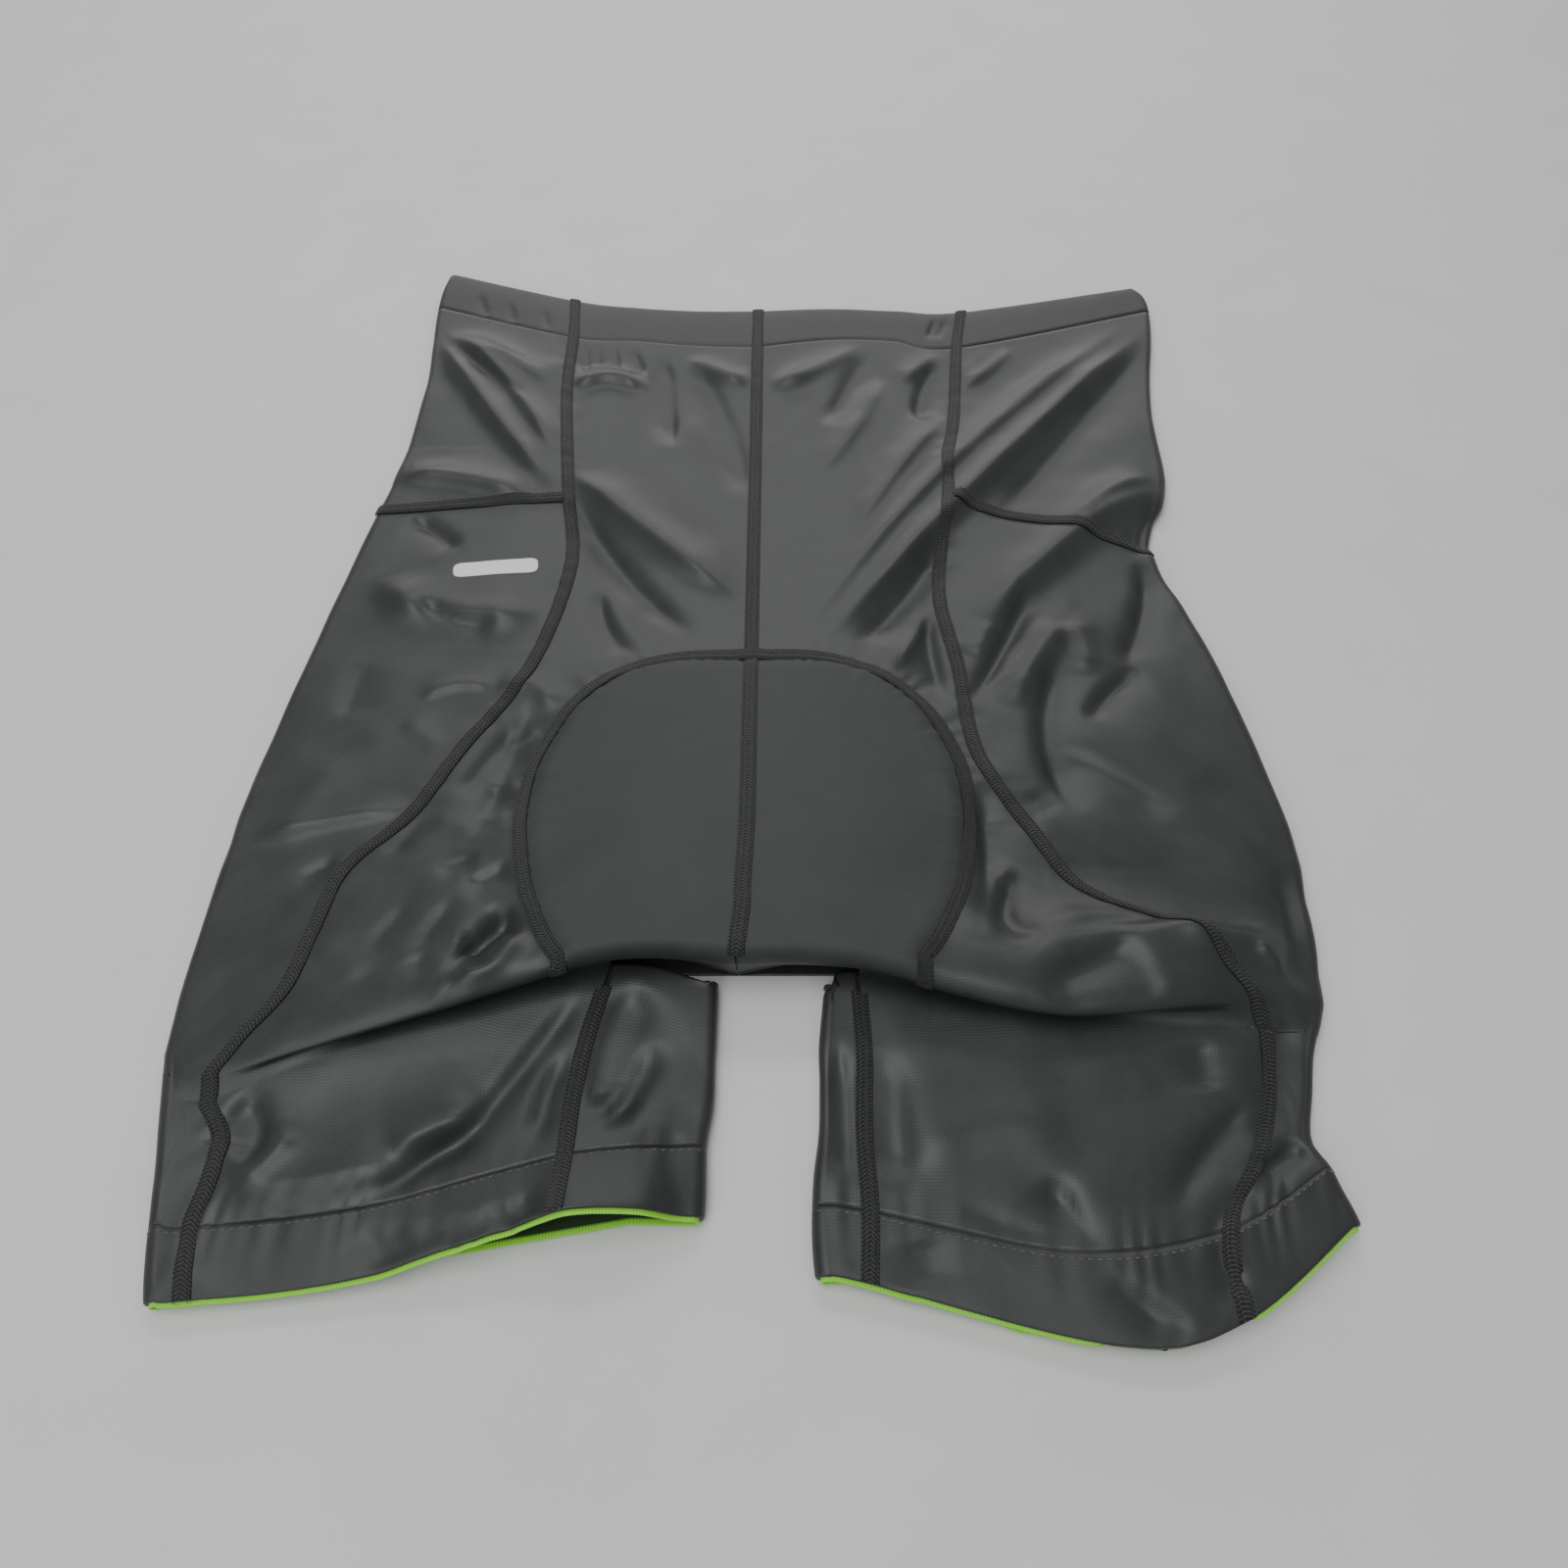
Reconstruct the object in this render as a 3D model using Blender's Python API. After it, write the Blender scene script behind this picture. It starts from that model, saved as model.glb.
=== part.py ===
"""Cycling shorts laid flat on their front, back side up, as a maker cuts and sews them.

X runs to the viewer's right, Y to the waist, Z up. The origin is the middle of the footprint.
Tables are in millimetres, and the meshes are in metres.
"""
import bpy
import numpy as np
from mathutils import Vector
from mathutils.bvhtree import BVHTree

MM = 0.001
CLOTH = 1.5               # wall of a knit panel with its seam allowance
CASING = 1.8              # wall of the turned waistband and hems
SEAM_GAP = 0.3            # between two panels that are sewn together
CENTRING = (0.376, 1.9, 0.0)   # brings the middle of the footprint to the origin
LOWEST_FOLD = 4.6         # the upper layer's outer face never dips below this
CLAMP_SHARPNESS = 1.5     # how quickly a deep fold levels out there
WRAP = 20.0               # how far a side or inner-leg panel runs on under the edge
OVERHANG = 9.0            # how far the seat lip hangs over the legs
HANGS_AT = (1.0, 1.0, 1.0, 0.0, 0.0)   # share of it at the five lines of a section
FREE_REACH = 4.0          # an overhang of this much or more hides the cloth behind it
CROTCH_HEIGHT = 2.4       # where the hidden end of the seat meets the lower layer
CROTCH_FORWARD = 1.0      # how far that end lies behind the lip, at its top and at its foot
CROTCH_BACK = 4.0
CROTCH_DROP = {"under": 0.55, "tuck": 0.3, "turn": 0.0}   # share of the lip's height left there
BAND_WIDTH = 5.5          # a flat seam's cover stitching
BAND_THICK = 0.9
BAND_LIFT = 0.5
YOKE_LIFT = 0.9
YOKE_START = 1.5          # the yoke's band stops this far short of the side band
GRIPPER_THICK = 0.7
GRIPPER_SHOWS = 2.5       # how far the tape stands out of the hem
GRIPPER_START = 0.25      # where the tape begins, as a share of the first half of the hem
PAD_INSET = 8.0           # the pad's edge inside its seam
PAD_FRONT = -138.0        # where the pad is folded under the lip
PAD_MIDDLE = -75.0
PAD_CLEARANCE = 0.5       # under the seat cloth
PAD_SHARES = (0.3, 0.55, 0.78, 0.92, 1.0)   # rings from its middle to its edge
PAD_EDGE_FALL = 1.6       # how much thinner its edge is
EDGE_EASING = 6           # passes that even out the direction of the rolled edges
ROLL_ANGLES = (60.0, 120.0, 180.0)
LOWER_SHARES = (0.3, 0.65)   # where the lower layer is bent to follow the upper one's rows
CROSSING_LIFT = 1.6       # the horseshoe seam rides over the centre-back seam
CROSSING_X = -5.0
CROSSING_REACH = 13.0     # the ride starts this far from the crossing, and is full after the rise
CROSSING_RISE = 7.0
HORSESHOE_LIFT = 0.85
HORSESHOE_STATIONS = 45
FADE_AT_WAIST = (1.0, 0.6)   # folds start below the band line, and are full after this share
FADE_AT_HEM = (2.0, 0.8)
FOLLOW_ROWS = 6.0         # the left leg's lower lip runs straight over these rows
ABOVE_ALL = 100.0         # where the rays that find the cloth start
CENTRE, INNER, MIDDLE, SIDE, EDGE = range(5)
COLUMNS_BETWEEN = (3, 4, 5, 6)

# A row for each section across one half. Its columns are the section, the rows to the next one, and
# (x, y, height) at the centre line or inner edge, the inner-leg seam, the middle of the back panel,
# the side-back seam and the outer edge.
LEFT_SECTIONS = (
    ("waist", 2, (-5, 239, 7), (-38, 239, 7), (-72, 242, 7), (-105, 248, 7), (-178, 272, 7)),
    ("band line", 4, (-5, 208, 7), (-37, 209, 7), (-70, 213, 7), (-103, 216, 7), (-180, 241, 7)),
    ("hip", 4, (-5, 157, 7), (-35, 160, 8), (-68, 165, 8), (-102, 173, 8), (-176, 180, 7)),
    ("low hip", 3, (-5, 117, 8), (-34, 120, 9), (-65, 124, 9), (-97, 127, 9), (-178, 120, 8)),
    ("yoke", 4, (-5, 83, 8), (-33, 86, 9), (-62, 90, 9), (-93, 93, 9), (-183, 86, 8)),
    ("seat top", 4, (-5, 41, 9), (-32, 41, 10), (-58, 43, 10), (-88, 48, 9), (-189, 50, 8)),
    ("pad top", 4, (-5, -5, 12), (-33, -6, 13), (-64, -8, 12), (-99, -10, 10), (-197, -3, 8)),
    ("pad upper", 3, (-5, -57, 18), (-37, -59, 18), (-77, -57, 14), (-121, -50, 10), (-203, -46, 8)),
    ("pad wide", 2, (-5, -93, 22), (-42, -95, 22), (-86, -94, 16), (-137, -83, 10), (-206, -81, 8)),
    ("pad lower", 1, (-6, -122, 25), (-45, -123, 25), (-93, -120, 18), (-158, -108, 10), (-208, -112, 8)),
    ("roll foot", 1, (-6, -132, 26), (-47, -132, 26), (-97, -134, 19), (-164, -134, 11), (-209, -135, 8)),
    ("above lip", 1, (-7, -142, 26), (-49, -141, 26), (-102, -147, 20), (-169, -157, 11), (-209, -155, 8)),
    ("lip", 1, (-8, -152, 26), (-54, -151, 26), (-116, -169, 20), (-188, -188, 11), (-208, -180, 8)),
    ("leg start", 2, (-15, -156, 7), (-56, -155, 7), (-119, -174, 8), (-187, -198, 8), (-206, -190, 8)),
    ("leg upper", 2, (-15, -179, 7), (-61, -177, 7), (-125, -195, 8), (-180, -209, 8), (-203, -205, 8)),
    ("leg lower", 2, (-15, -197, 8), (-63, -197, 9), (-125, -215, 9), (-180, -224, 8), (-200, -220, 8)),
    ("hem line", 2, (-17, -212, 8), (-63, -216, 12), (-128, -232, 9), (-182, -238, 8), (-197, -238, 8)),
    ("hem", 0, (-17, -236, 8), (-63, -237, 17), (-127, -254, 9), (-179, -260, 8), (-192, -261, 8)),
)
RIGHT_SECTIONS = (
    ("waist", 2, (-5, 239, 7), (34, 241, 7), (70, 239, 7), (105, 238, 7), (203, 260, 7)),
    ("band line", 4, (-5, 208, 7), (33, 214, 7), (66, 213, 7), (100, 207, 7), (208, 238, 7)),
    ("hip", 4, (-5, 157, 7), (30, 158, 8), (62, 156, 8), (94, 151, 8), (196, 157, 8)),
    ("low hip", 3, (-5, 117, 8), (27, 118, 9), (58, 119, 9), (88, 118, 10), (193, 105, 9)),
    ("yoke", 4, (-5, 83, 8), (24, 86, 9), (56, 89, 9), (86, 90, 10), (180, 60, 9)),
    ("seat top", 4, (-5, 41, 9), (22, 39, 10), (51, 36, 10), (78, 33, 11), (187, 28, 9)),
    ("pad top", 4, (-5, -5, 12), (24, -6, 13), (53, -8, 12), (83, -11, 11), (195, -4, 9)),
    ("pad upper", 3, (-5, -57, 18), (27, -59, 18), (62, -57, 14), (87, -55, 12), (203, -51, 9)),
    ("pad wide", 2, (-5, -93, 22), (30, -95, 22), (72, -92, 16), (104, -90, 12), (208, -85, 9)),
    ("pad lower", 1, (-6, -122, 25), (32, -123, 25), (78, -114, 17), (120, -116, 11), (208, -112, 9)),
    ("roll foot", 1, (-6, -132, 26), (33, -133, 26), (84, -130, 19), (146, -131, 12), (208, -128, 10)),
    ("above lip", 1, (-7, -142, 26), (34, -143, 26), (88, -145, 24), (160, -138, 20), (207, -141, 10)),
    ("lip", 1, (-8, -152, 26), (36, -154, 26), (104, -170, 24), (176, -162, 17), (203, -162, 9)),
    ("leg start", 2, (23, -157, 7), (36, -157, 7), (106, -174, 8), (179, -173, 9), (198, -175, 8)),
    ("leg upper", 2, (21, -179, 7), (37, -181, 7), (105, -194, 8), (176, -193, 9), (193, -192, 8)),
    ("leg lower", 2, (20, -205, 8), (36, -207, 8), (104, -219, 9), (168, -213, 9), (188, -209, 8)),
    ("hem line", 2, (18, -231, 8), (37, -233, 8), (103, -246, 9), (152, -239, 9), (191, -219, 8)),
    ("hem", 0, (19, -253, 8), (36, -255, 8), (113, -273, 8), (152, -266, 9), (196, -237, 8)),
)

# How the cloth rolls over the seat lip and turns out again as the leg. The columns are the place, the
# share of the way back to the section above, the share of the overhang, the share of the way to the
# leg where nothing hangs over, and the share of the lip's height.
LIP_PROFILE = (
    ("brow", 0.45, 0.0, 0.0, 1.0),
    ("upper", 0.12, 0.0, 0.0, 0.88),
    ("front", 0.0, 0.0, 0.0, 0.66),
    ("under", 0.0, 0.35, 0.2, 0.42),
    ("tuck", 0.0, 0.9, 0.4, 0.24),
    ("turn", 0.0, 1.0, 0.6, 0.1),
    ("out", 0.0, 0.6, 0.8, 0.0),
)

# The largest folds. The columns are the fold, its start, middle and end in plan, its half width and
# its height, which is below 0 for a trough.
SEAT_FOLDS = (
    ("hip ridge left", (-172, 200), (-140, 170), (-100, 118), 10, 3.5),
    ("hip trough left", (-170, 186), (-136, 142), (-100, 98), 10, -2.0),
    ("yoke ridge left", (-176, 104), (-140, 99), (-106, 99), 10, 2.5),
    ("pocket ridge left", (-168, 61), (-137, 46), (-104, 40), 10, 4.0),
    ("pocket trough left", (-172, 46), (-151, 22), (-104, 20), 10, -3.0),
    ("waist trough left", (-42, 192), (-23, 155), (-8, 96), 10, -2.0),
    ("seat ridge left", (-90, 113), (-55, 68), (-16, 32), 10, 4.0),
    ("seat trough left", (-86, 93), (-62, 49), (-30, 10), 10, -3.0),
    ("diagonal ridge upper", (182, 214), (94, 134), (24, 42), 10, 4.0),
    ("diagonal ridge lower", (186, 200), (109, 116), (30, 18), 10, 3.5),
    ("diagonal trough", (182, 186), (148, 144), (103, 99), 10, -2.0),
    ("hip ridge right", (184, 113), (147, 84), (116, 62), 10, 5.0),
    ("side ridge right", (172, 88), (135, 50), (96, 3), 10, 5.0),
    ("side trough right", (117, 30), (103, 4), (90, -29), 10, -3.0),
    ("side trough lower", (130, 8), (114, -39), (125, -82), 10, -3.0),
    ("side ridge lower", (146, -6), (137, -38), (150, -76), 10, 3.0),
    ("pad side trough", (84, -72), (88, -104), (96, -124), 10, -5.0),
)
LEG_FOLDS = (
    ("leg hollow left", (-180, -198), (-169, -209), (-171, -223), 10, -3.0),
    ("leg ridge left", (-172, -228), (-157, -220), (-120, -216), 10, 2.5),
    ("leg trough left", (-130, -226), (-104, -208), (-82, -182), 10, -3.0),
    ("leg trough right", (46, -186), (44, -202), (46, -222), 10, -2.0),
    ("leg crease right", (96, -206), (102, -224), (110, -236), 10, -3.0),
    ("hem hollow right", (146, -240), (156, -229), (168, -210), 10, -3.5),
)
# The horseshoe seam round the seat pad: half width at a place along Y, from the lip to its top.
HORSESHOE = ((70, -143), (79, -124), (84, -106), (87, -85), (85, -60), (74, -34), (57, -17),
             (32, -8), (0, -6))
HORSESHOE_MIDDLE = -6
PAD_EDGE_RISE = 2.2       # the step in the cloth over the pad's edge
PAD_EDGE_START = 4.0      # it starts this far outside the seam, and is full after the run
PAD_EDGE_RUN = 12.0
PAD_TOP_RUN = 8.0


def remove_scene_objects():
    """Empty the scene and its collections."""
    for old in list(bpy.data.objects):
        bpy.data.objects.remove(old, do_unlink=True)
    for old in list(bpy.data.collections):
        bpy.data.collections.remove(old)


def curve_through(values, places):
    """Read a smooth curve through evenly numbered values at fractional places."""
    values = np.asarray(values, float)
    last = len(values) - 1
    low = np.clip(np.floor(places).astype(int), 0, last - 1)
    part = (np.asarray(places, float) - low).reshape((-1,) + (1,) * (values.ndim - 1))
    before = values[np.maximum(low - 1, 0)]
    start = values[low]
    end = values[low + 1]
    after = values[np.minimum(low + 2, last)]
    start_slope = 0.5 * (end - before)
    end_slope = 0.5 * (after - start)
    return (start * (2 * part**3 - 3 * part**2 + 1) + start_slope * (part**3 - 2 * part**2 + part)
            + end * (3 * part**2 - 2 * part**3) + end_slope * (part**3 - part**2))


def lip_sections(above, lip, leg, hangs):
    """The extra sections that roll over the lip, from the three measured ones round it."""
    reach = OVERHANG * np.array(HANGS_AT) * hangs
    free = 1.0 - np.clip(reach / FREE_REACH, 0.0, 1.0)
    sections = []
    for _, back, overhang, forward, height in LIP_PROFILE:
        section = lip + back * (above - lip)
        section[:, :2] += (forward * free)[:, None] * (leg - lip)[:, :2]
        section[:, 1] += overhang * reach
        section[:, 2] = leg[:, 2] + height * (lip[:, 2] - leg[:, 2])
        sections.append(section)
    return sections


def close_crotch(sections, names, leg_start):
    """Bring the hidden end of the seat down to the lower layer between the legs."""
    front = sections[names.index("front")][CENTRE]
    for name, share in CROTCH_DROP.items():
        row = names.index(name)
        sections[row][CENTRE, 2] = CROTCH_HEIGHT + share * (front[2] - CROTCH_HEIGHT)
        sections[row][CENTRE, 1] = front[1] + CROTCH_BACK + share * (CROTCH_FORWARD - CROTCH_BACK)
    for name in ("out", "leg start"):
        sections[names.index(name)][CENTRE, :2] = leg_start
    sections[names.index("out")][CENTRE, 1] += CROTCH_BACK - CROTCH_FORWARD


def all_sections(table, hangs=1.0):
    """Measured and lip sections in order, with their names and rows to the next one."""
    names = []
    rows = []
    sections = []
    for name, count, *points in table:
        points = np.array(points, float)
        if name == "lip":
            above = sections[-1]
            leg = np.array(table[[row[0] for row in table].index("leg start")][2:], float)
            sections += lip_sections(above, points, leg, hangs)
            names += [row[0] for row in LIP_PROFILE]
            rows += [1] * len(LIP_PROFILE)
        else:
            sections.append(points)
            names.append(name)
            rows.append(count)
    if hangs > 0:
        close_crotch(sections, names, table[[row[0] for row in table].index("leg start")][2][:2])
    return names, rows, np.array(sections)


def grid_places(counts):
    """Fractional places of grid lines, given how many steps each stretch has."""
    places = [0.0]
    for number, count in enumerate(counts):
        places += [number + (step + 1) / count for step in range(count)]
    return np.array(places)


def distance_and_share(points, start, middle, end):
    """Distance from plan points to a bent fold line, and how far along it they lie."""
    steps = np.linspace(0.0, 1.0, 9)
    line = [np.array(start) * (1 - s)**2 + 2 * np.array(middle) * s * (1 - s) + np.array(end) * s**2
            for s in steps]
    best = np.full(points.shape[:-1], 1e9)
    share = np.zeros(points.shape[:-1])
    for number in range(len(line) - 1):
        run = line[number + 1] - line[number]
        along = np.clip(((points - line[number]) @ run) / (run @ run), 0.0, 1.0)
        gap = np.linalg.norm(points - line[number] - along[..., None] * run, axis=-1)
        nearer = gap < best
        best = np.where(nearer, gap, best)
        share = np.where(nearer, (number + along) / (len(line) - 1), share)
    return best, share


def fold_height(points, folds):
    """Sum of the folds over plan points."""
    height = np.zeros(points.shape[:-1])
    for _, start, middle, end, width, rise in folds:
        gap, share = distance_and_share(points, start, middle, end)
        fade = np.clip(np.minimum(share, 1.0 - share) * 4.0 + 0.25, 0.0, 1.0)
        height += rise * fade * np.exp(-(gap / width)**2)
    return height


def horseshoe_line(places, inset=0.0):
    """Plan points of the seat pad's seam, from its left end over the top to its right end."""
    half = np.array(HORSESHOE, float)
    whole = np.vstack([half * (-1, 1), (half * (1, 1))[::-1][1:]])
    whole[:, 0] += HORSESHOE_MIDDLE
    line = curve_through(whole, places * (len(whole) - 1))
    away = line - np.array([HORSESHOE_MIDDLE, PAD_MIDDLE])
    return line - inset * away / np.linalg.norm(away, axis=1)[:, None]


def pad_rise(points):
    """The step in the cloth where the pad's edge lies under it."""
    outline = np.array(HORSESHOE, float)
    order = np.argsort(outline[:, 1])
    half = np.interp(points[..., 1], outline[order, 1], outline[order, 0], right=0.0)
    inside = half - np.abs(points[..., 0] - HORSESHOE_MIDDLE)
    top = np.clip((HORSESHOE[-1][1] - points[..., 1]) / PAD_TOP_RUN, 0.0, 1.0)
    share = np.clip((inside + PAD_EDGE_START) / PAD_EDGE_RUN, 0.0, 1.0) * top
    return PAD_EDGE_RISE * share * share * (3.0 - 2.0 * share)


def normals_of(points):
    """Outward directions at the points of a grid whose columns run round the garment."""
    down = np.gradient(points, axis=0)
    across = np.gradient(points, axis=1)
    normal = np.cross(across, down)
    return normal / np.linalg.norm(normal, axis=-1)[..., None]


def edge_directions(edge, beside):
    """Directions straight out from an edge, eased along it so that the wrapped cloth never crosses."""
    run = np.gradient(edge, axis=0)
    out = np.column_stack([run[:, 1], -run[:, 0]])
    out *= np.sign(np.sum(out * (edge - beside), axis=1))[:, None]
    out /= np.linalg.norm(out, axis=1)[:, None]
    for _ in range(EDGE_EASING):
        padded = np.vstack([out[:1], out, out[-1:]])
        out = (padded[:-2] + 2.0 * padded[1:-1] + padded[2:]) / 4.0
    return out / np.linalg.norm(out, axis=1)[:, None]


class Half:
    """One half of the garment: a grid over its upper side, round its edges and underneath."""

    def __init__(self, table, mirror):
        self.mirror = mirror
        self.names, counts, sections = all_sections(table)
        places = grid_places(counts[:-1])
        columns = grid_places(COLUMNS_BETWEEN)
        starts = np.cumsum([0] + counts[:-1])
        self.row = dict(zip(self.names, starts))
        by_row = self.set_in_edges(curve_through(sections, places))
        top = np.stack([curve_through(row, columns) for row in by_row])
        self.column = dict(zip(range(5), np.cumsum((0,) + COLUMNS_BETWEEN)))
        lip_row = self.row["front"]
        leg_row = self.row["out"]
        plan = top[..., :2]
        seat_share = np.zeros(len(top))
        seat_share[:lip_row] = 1.0
        for name, _, _, _, height in LIP_PROFILE:
            seat_share[self.row[name]] = height
        seat_share[leg_row:] = 0.0
        fade = np.clip((places - FADE_AT_WAIST[0]) / FADE_AT_WAIST[1], 0.0, 1.0)
        seat = (fold_height(plan, SEAT_FOLDS) + pad_rise(plan)) * (seat_share * fade)[:, None]
        hem_fade = np.clip((len(self.names) - FADE_AT_HEM[0] - places) / FADE_AT_HEM[1], 0.0, 1.0)
        leg = fold_height(plan, LEG_FOLDS) * ((1.0 - seat_share) * hem_fade)[:, None]
        raised = top[..., 2] + seat + leg
        above = (raised - LOWEST_FOLD) * CLAMP_SHARPNESS
        eased = LOWEST_FOLD + np.logaddexp(0.0, above) / CLAMP_SHARPNESS
        in_crotch = np.zeros(len(top), bool)
        in_crotch[self.row["under"]:self.row["out"]] = True
        top[..., 2] = np.where(in_crotch[:, None], raised, eased)
        self.flat = curve_through(all_sections(table, hangs=0.0)[2], places)
        self.points, self.normals = self.wrap(top)
        follow = np.ones(len(top))
        if not mirror:
            follow = np.clip((self.row["hem line"] - np.arange(len(top))) / FOLLOW_ROWS, 0.0, 1.0)
        self.lower = self.lower_lines(follow)

    def set_in_edges(self, lines):
        """Move the edge lines in by the radius of the roll that leads round them."""
        self.outward = {}
        for edge, beside, first_row in ((EDGE, SIDE, 0), (CENTRE, INNER, self.row["out"])):
            out = edge_directions(lines[first_row:, edge, :2], lines[first_row:, beside, :2])
            lines[first_row:, edge, :2] -= out * lines[first_row:, edge, 2:3] / 2.0
            self.outward[edge] = np.zeros((len(lines), 2))
            self.outward[edge][first_row:] = out
        return lines

    def edge_arc(self, top, out):
        """Points round an edge and on under it, and the way each faces."""
        radius = top[:, 2] / 2.0
        points = []
        normals = []
        for angle in np.radians(ROLL_ANGLES):
            plan = top[:, :2] + out * (radius * np.sin(angle))[:, None]
            points.append(np.column_stack([plan, radius * (1.0 + np.cos(angle))]))
            normals.append(np.column_stack([out * np.sin(angle), np.full(len(top), np.cos(angle))]))
        points.append(np.column_stack([top[:, :2] - out * WRAP, np.zeros(len(top))]))
        normals.append(normals[-1])
        return points, normals

    def wrap(self, top):
        """Add the rolled edges: the outer one all the way, the inner one beside the leg."""
        seam = self.column[INNER]
        body_end = self.row["turn"] + 1
        facing = np.zeros_like(top)
        facing[:body_end, :seam] = normals_of(top[:body_end])[:, :seam]
        facing[body_end:, :seam] = normals_of(top[body_end:])[:, :seam]
        facing[:, seam:] = normals_of(top[:, seam:])
        if self.mirror:
            facing = -facing
        outer, outer_normals = self.edge_arc(top[:, -1], self.outward[EDGE])
        inner, inner_normals = self.edge_arc(top[:, 0], self.outward[CENTRE])
        self.first = len(inner)
        points = np.stack(inner[::-1] + list(np.moveaxis(top, 1, 0)) + outer, axis=1)
        normals = np.stack(inner_normals[::-1] + list(np.moveaxis(facing, 1, 0)) + outer_normals, axis=1)
        return points, normals

    def lower_lines(self, follow):
        """Plan points of the lower layer at each row: wrap end, three between, wrap end or centre."""
        brow = self.row["brow"]
        out = self.row["out"]
        centre = self.flat[:, CENTRE, :2].copy()
        centre[brow:, 0] = centre[brow, 0]
        inset = centre.copy()
        inset[:, 0] += self.points[out, 0, 0] - centre[out, 0]
        inset[out:] = self.points[out:, 0, :2]
        inset[brow:out, 1] = np.linspace(inset[brow, 1], inset[out, 1], out - brow, endpoint=False)
        side = self.points[:, -1, :2]
        lines = [centre, inset]
        for share in LOWER_SHARES:
            line = inset + (side - inset) * share
            for row, curve in enumerate(self.flat):
                order = np.argsort(curve[:, 0])
                smooth = curve_through(curve[order], np.linspace(0.0, 4.0, 21))
                wanted = np.interp(line[row, 0], smooth[:, 0], smooth[:, 1])
                line[row, 1] += follow[row] * (wanted - line[row, 1])
            lines.append(line)
        lines.append(side)
        return np.stack([np.column_stack([line, np.zeros(len(line))]) for line in lines], axis=1)

    def col(self, seam):
        """Grid column of a seam."""
        return self.first + self.column[seam]


def make_material(name, colour, roughness, metallic=0.0):
    """A plain finish for one sub-part."""
    material = bpy.data.materials.new(name)
    material.use_nodes = True
    surface = material.node_tree.nodes["Principled BSDF"]
    surface.inputs["Base Color"].default_value = (*colour, 1.0)
    surface.inputs["Roughness"].default_value = roughness
    surface.inputs["Metallic"].default_value = metallic
    material.diffuse_color = (*colour, 1.0)
    return material


def add_object(name, points, faces, finish, collection):
    """Put a closed mesh, given in millimetres, into the garment's collection."""
    mesh = bpy.data.meshes.new(name)
    mesh.from_pydata(((np.asarray(points) + CENTRING) * MM).tolist(), [], faces)
    mesh.validate()
    mesh.shade_smooth()
    colour, roughness = finish
    mesh.materials.append(make_material(name + "_cloth", colour, roughness))
    piece = bpy.data.objects.new(name, mesh)
    collection.objects.link(piece)
    return piece


def wall_faces(rows, columns, used, cyclic):
    """Faces of a wall over the used cells of a grid: outer side, inner side and its rim."""
    count = rows * columns
    cells = []
    for row in range(rows - 1):
        for column in range(columns if cyclic else columns - 1):
            if used[row][column]:
                nxt = (column + 1) % columns
                cells.append((row * columns + column, row * columns + nxt,
                              (row + 1) * columns + nxt, (row + 1) * columns + column))
    edges = {}
    for cell in cells:
        for place in range(4):
            edges[(cell[place], cell[(place + 1) % 4])] = True
    faces = [corners for a, b, c, d in cells for corners in ((a, b, c), (a, c, d))]
    faces += [(c + count, b + count, a + count) for a, b, c in list(faces)]
    faces += [(b, a, a + count, b + count) for a, b in edges if (b, a) not in edges]
    return faces


def signed_volume(points, faces):
    """Volume inside the faces, below 0 where they point inwards."""
    total = 0.0
    for face in faces:
        for place in range(1, len(face) - 1):
            total += np.dot(points[face[0]], np.cross(points[face[place]], points[face[place + 1]]))
    return total / 6.0


def add_wall(name, outer, inner, finish, collection, used=None, cyclic=False):
    """One sewn piece: a wall between two grids of points."""
    rows, columns = outer.shape[:2]
    if used is None:
        used = np.ones((rows, columns), bool)
    faces = wall_faces(rows, columns, used, cyclic)
    points = np.vstack([outer.reshape(-1, 3), inner.reshape(-1, 3)])
    if signed_volume(points, faces) < 0:
        faces = [tuple(reversed(face)) for face in faces]
    kept = sorted({corner for face in faces for corner in face})
    place = {corner: number for number, corner in enumerate(kept)}
    faces = [tuple(place[corner] for corner in face) for face in faces]
    return add_object(name, points[kept], faces, finish, collection)


def pull_in(points, axis, start, end):
    """Draw a grid's first and last lines in by half the gap that a seam keeps."""
    points = np.moveaxis(points.copy(), axis, 0)
    for here, beside, wanted in ((0, 1, start), (-1, -2, end)):
        if wanted:
            run = points[beside] - points[here]
            length = np.linalg.norm(run, axis=-1)[..., None]
            points[here] = points[here] + run / length * (SEAM_GAP / 2.0)
    return np.moveaxis(points, 0, axis)


def add_panel(name, half, rows, columns, collection):
    """A panel cut from one half's grid, with a seam along each of its four sides."""
    outer = half.points[rows, columns]
    inner = outer - half.normals[rows, columns] * CLOTH
    outer = pull_in(pull_in(outer, 0, True, True), 1, True, True)
    inner = pull_in(pull_in(inner, 0, True, True), 1, True, True)
    return add_wall(name, outer, inner, BLACK, collection)


def strip_on(outer_line, left, right, normals, lift=BAND_LIFT):
    """Closed ribbon over a line of points on the cloth; left and right are points beside it."""
    def beside(points):
        run = points - outer_line
        return outer_line + run / np.linalg.norm(run, axis=1)[:, None] * (BAND_WIDTH / 2.0)

    line = np.stack([beside(left), outer_line, beside(right)], axis=1)
    return line + normals[:, None] * (lift + BAND_THICK), line + normals[:, None] * lift


BLACK = ((0.034, 0.037, 0.038), 0.5)
SEAM_BLACK = ((0.022, 0.024, 0.025), 0.75)
BAND_BLACK = ((0.030, 0.033, 0.034), 0.55)
LIME = ((0.27, 0.74, 0.045), 0.6)
FOAM = ((0.10, 0.10, 0.11), 0.9)


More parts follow.
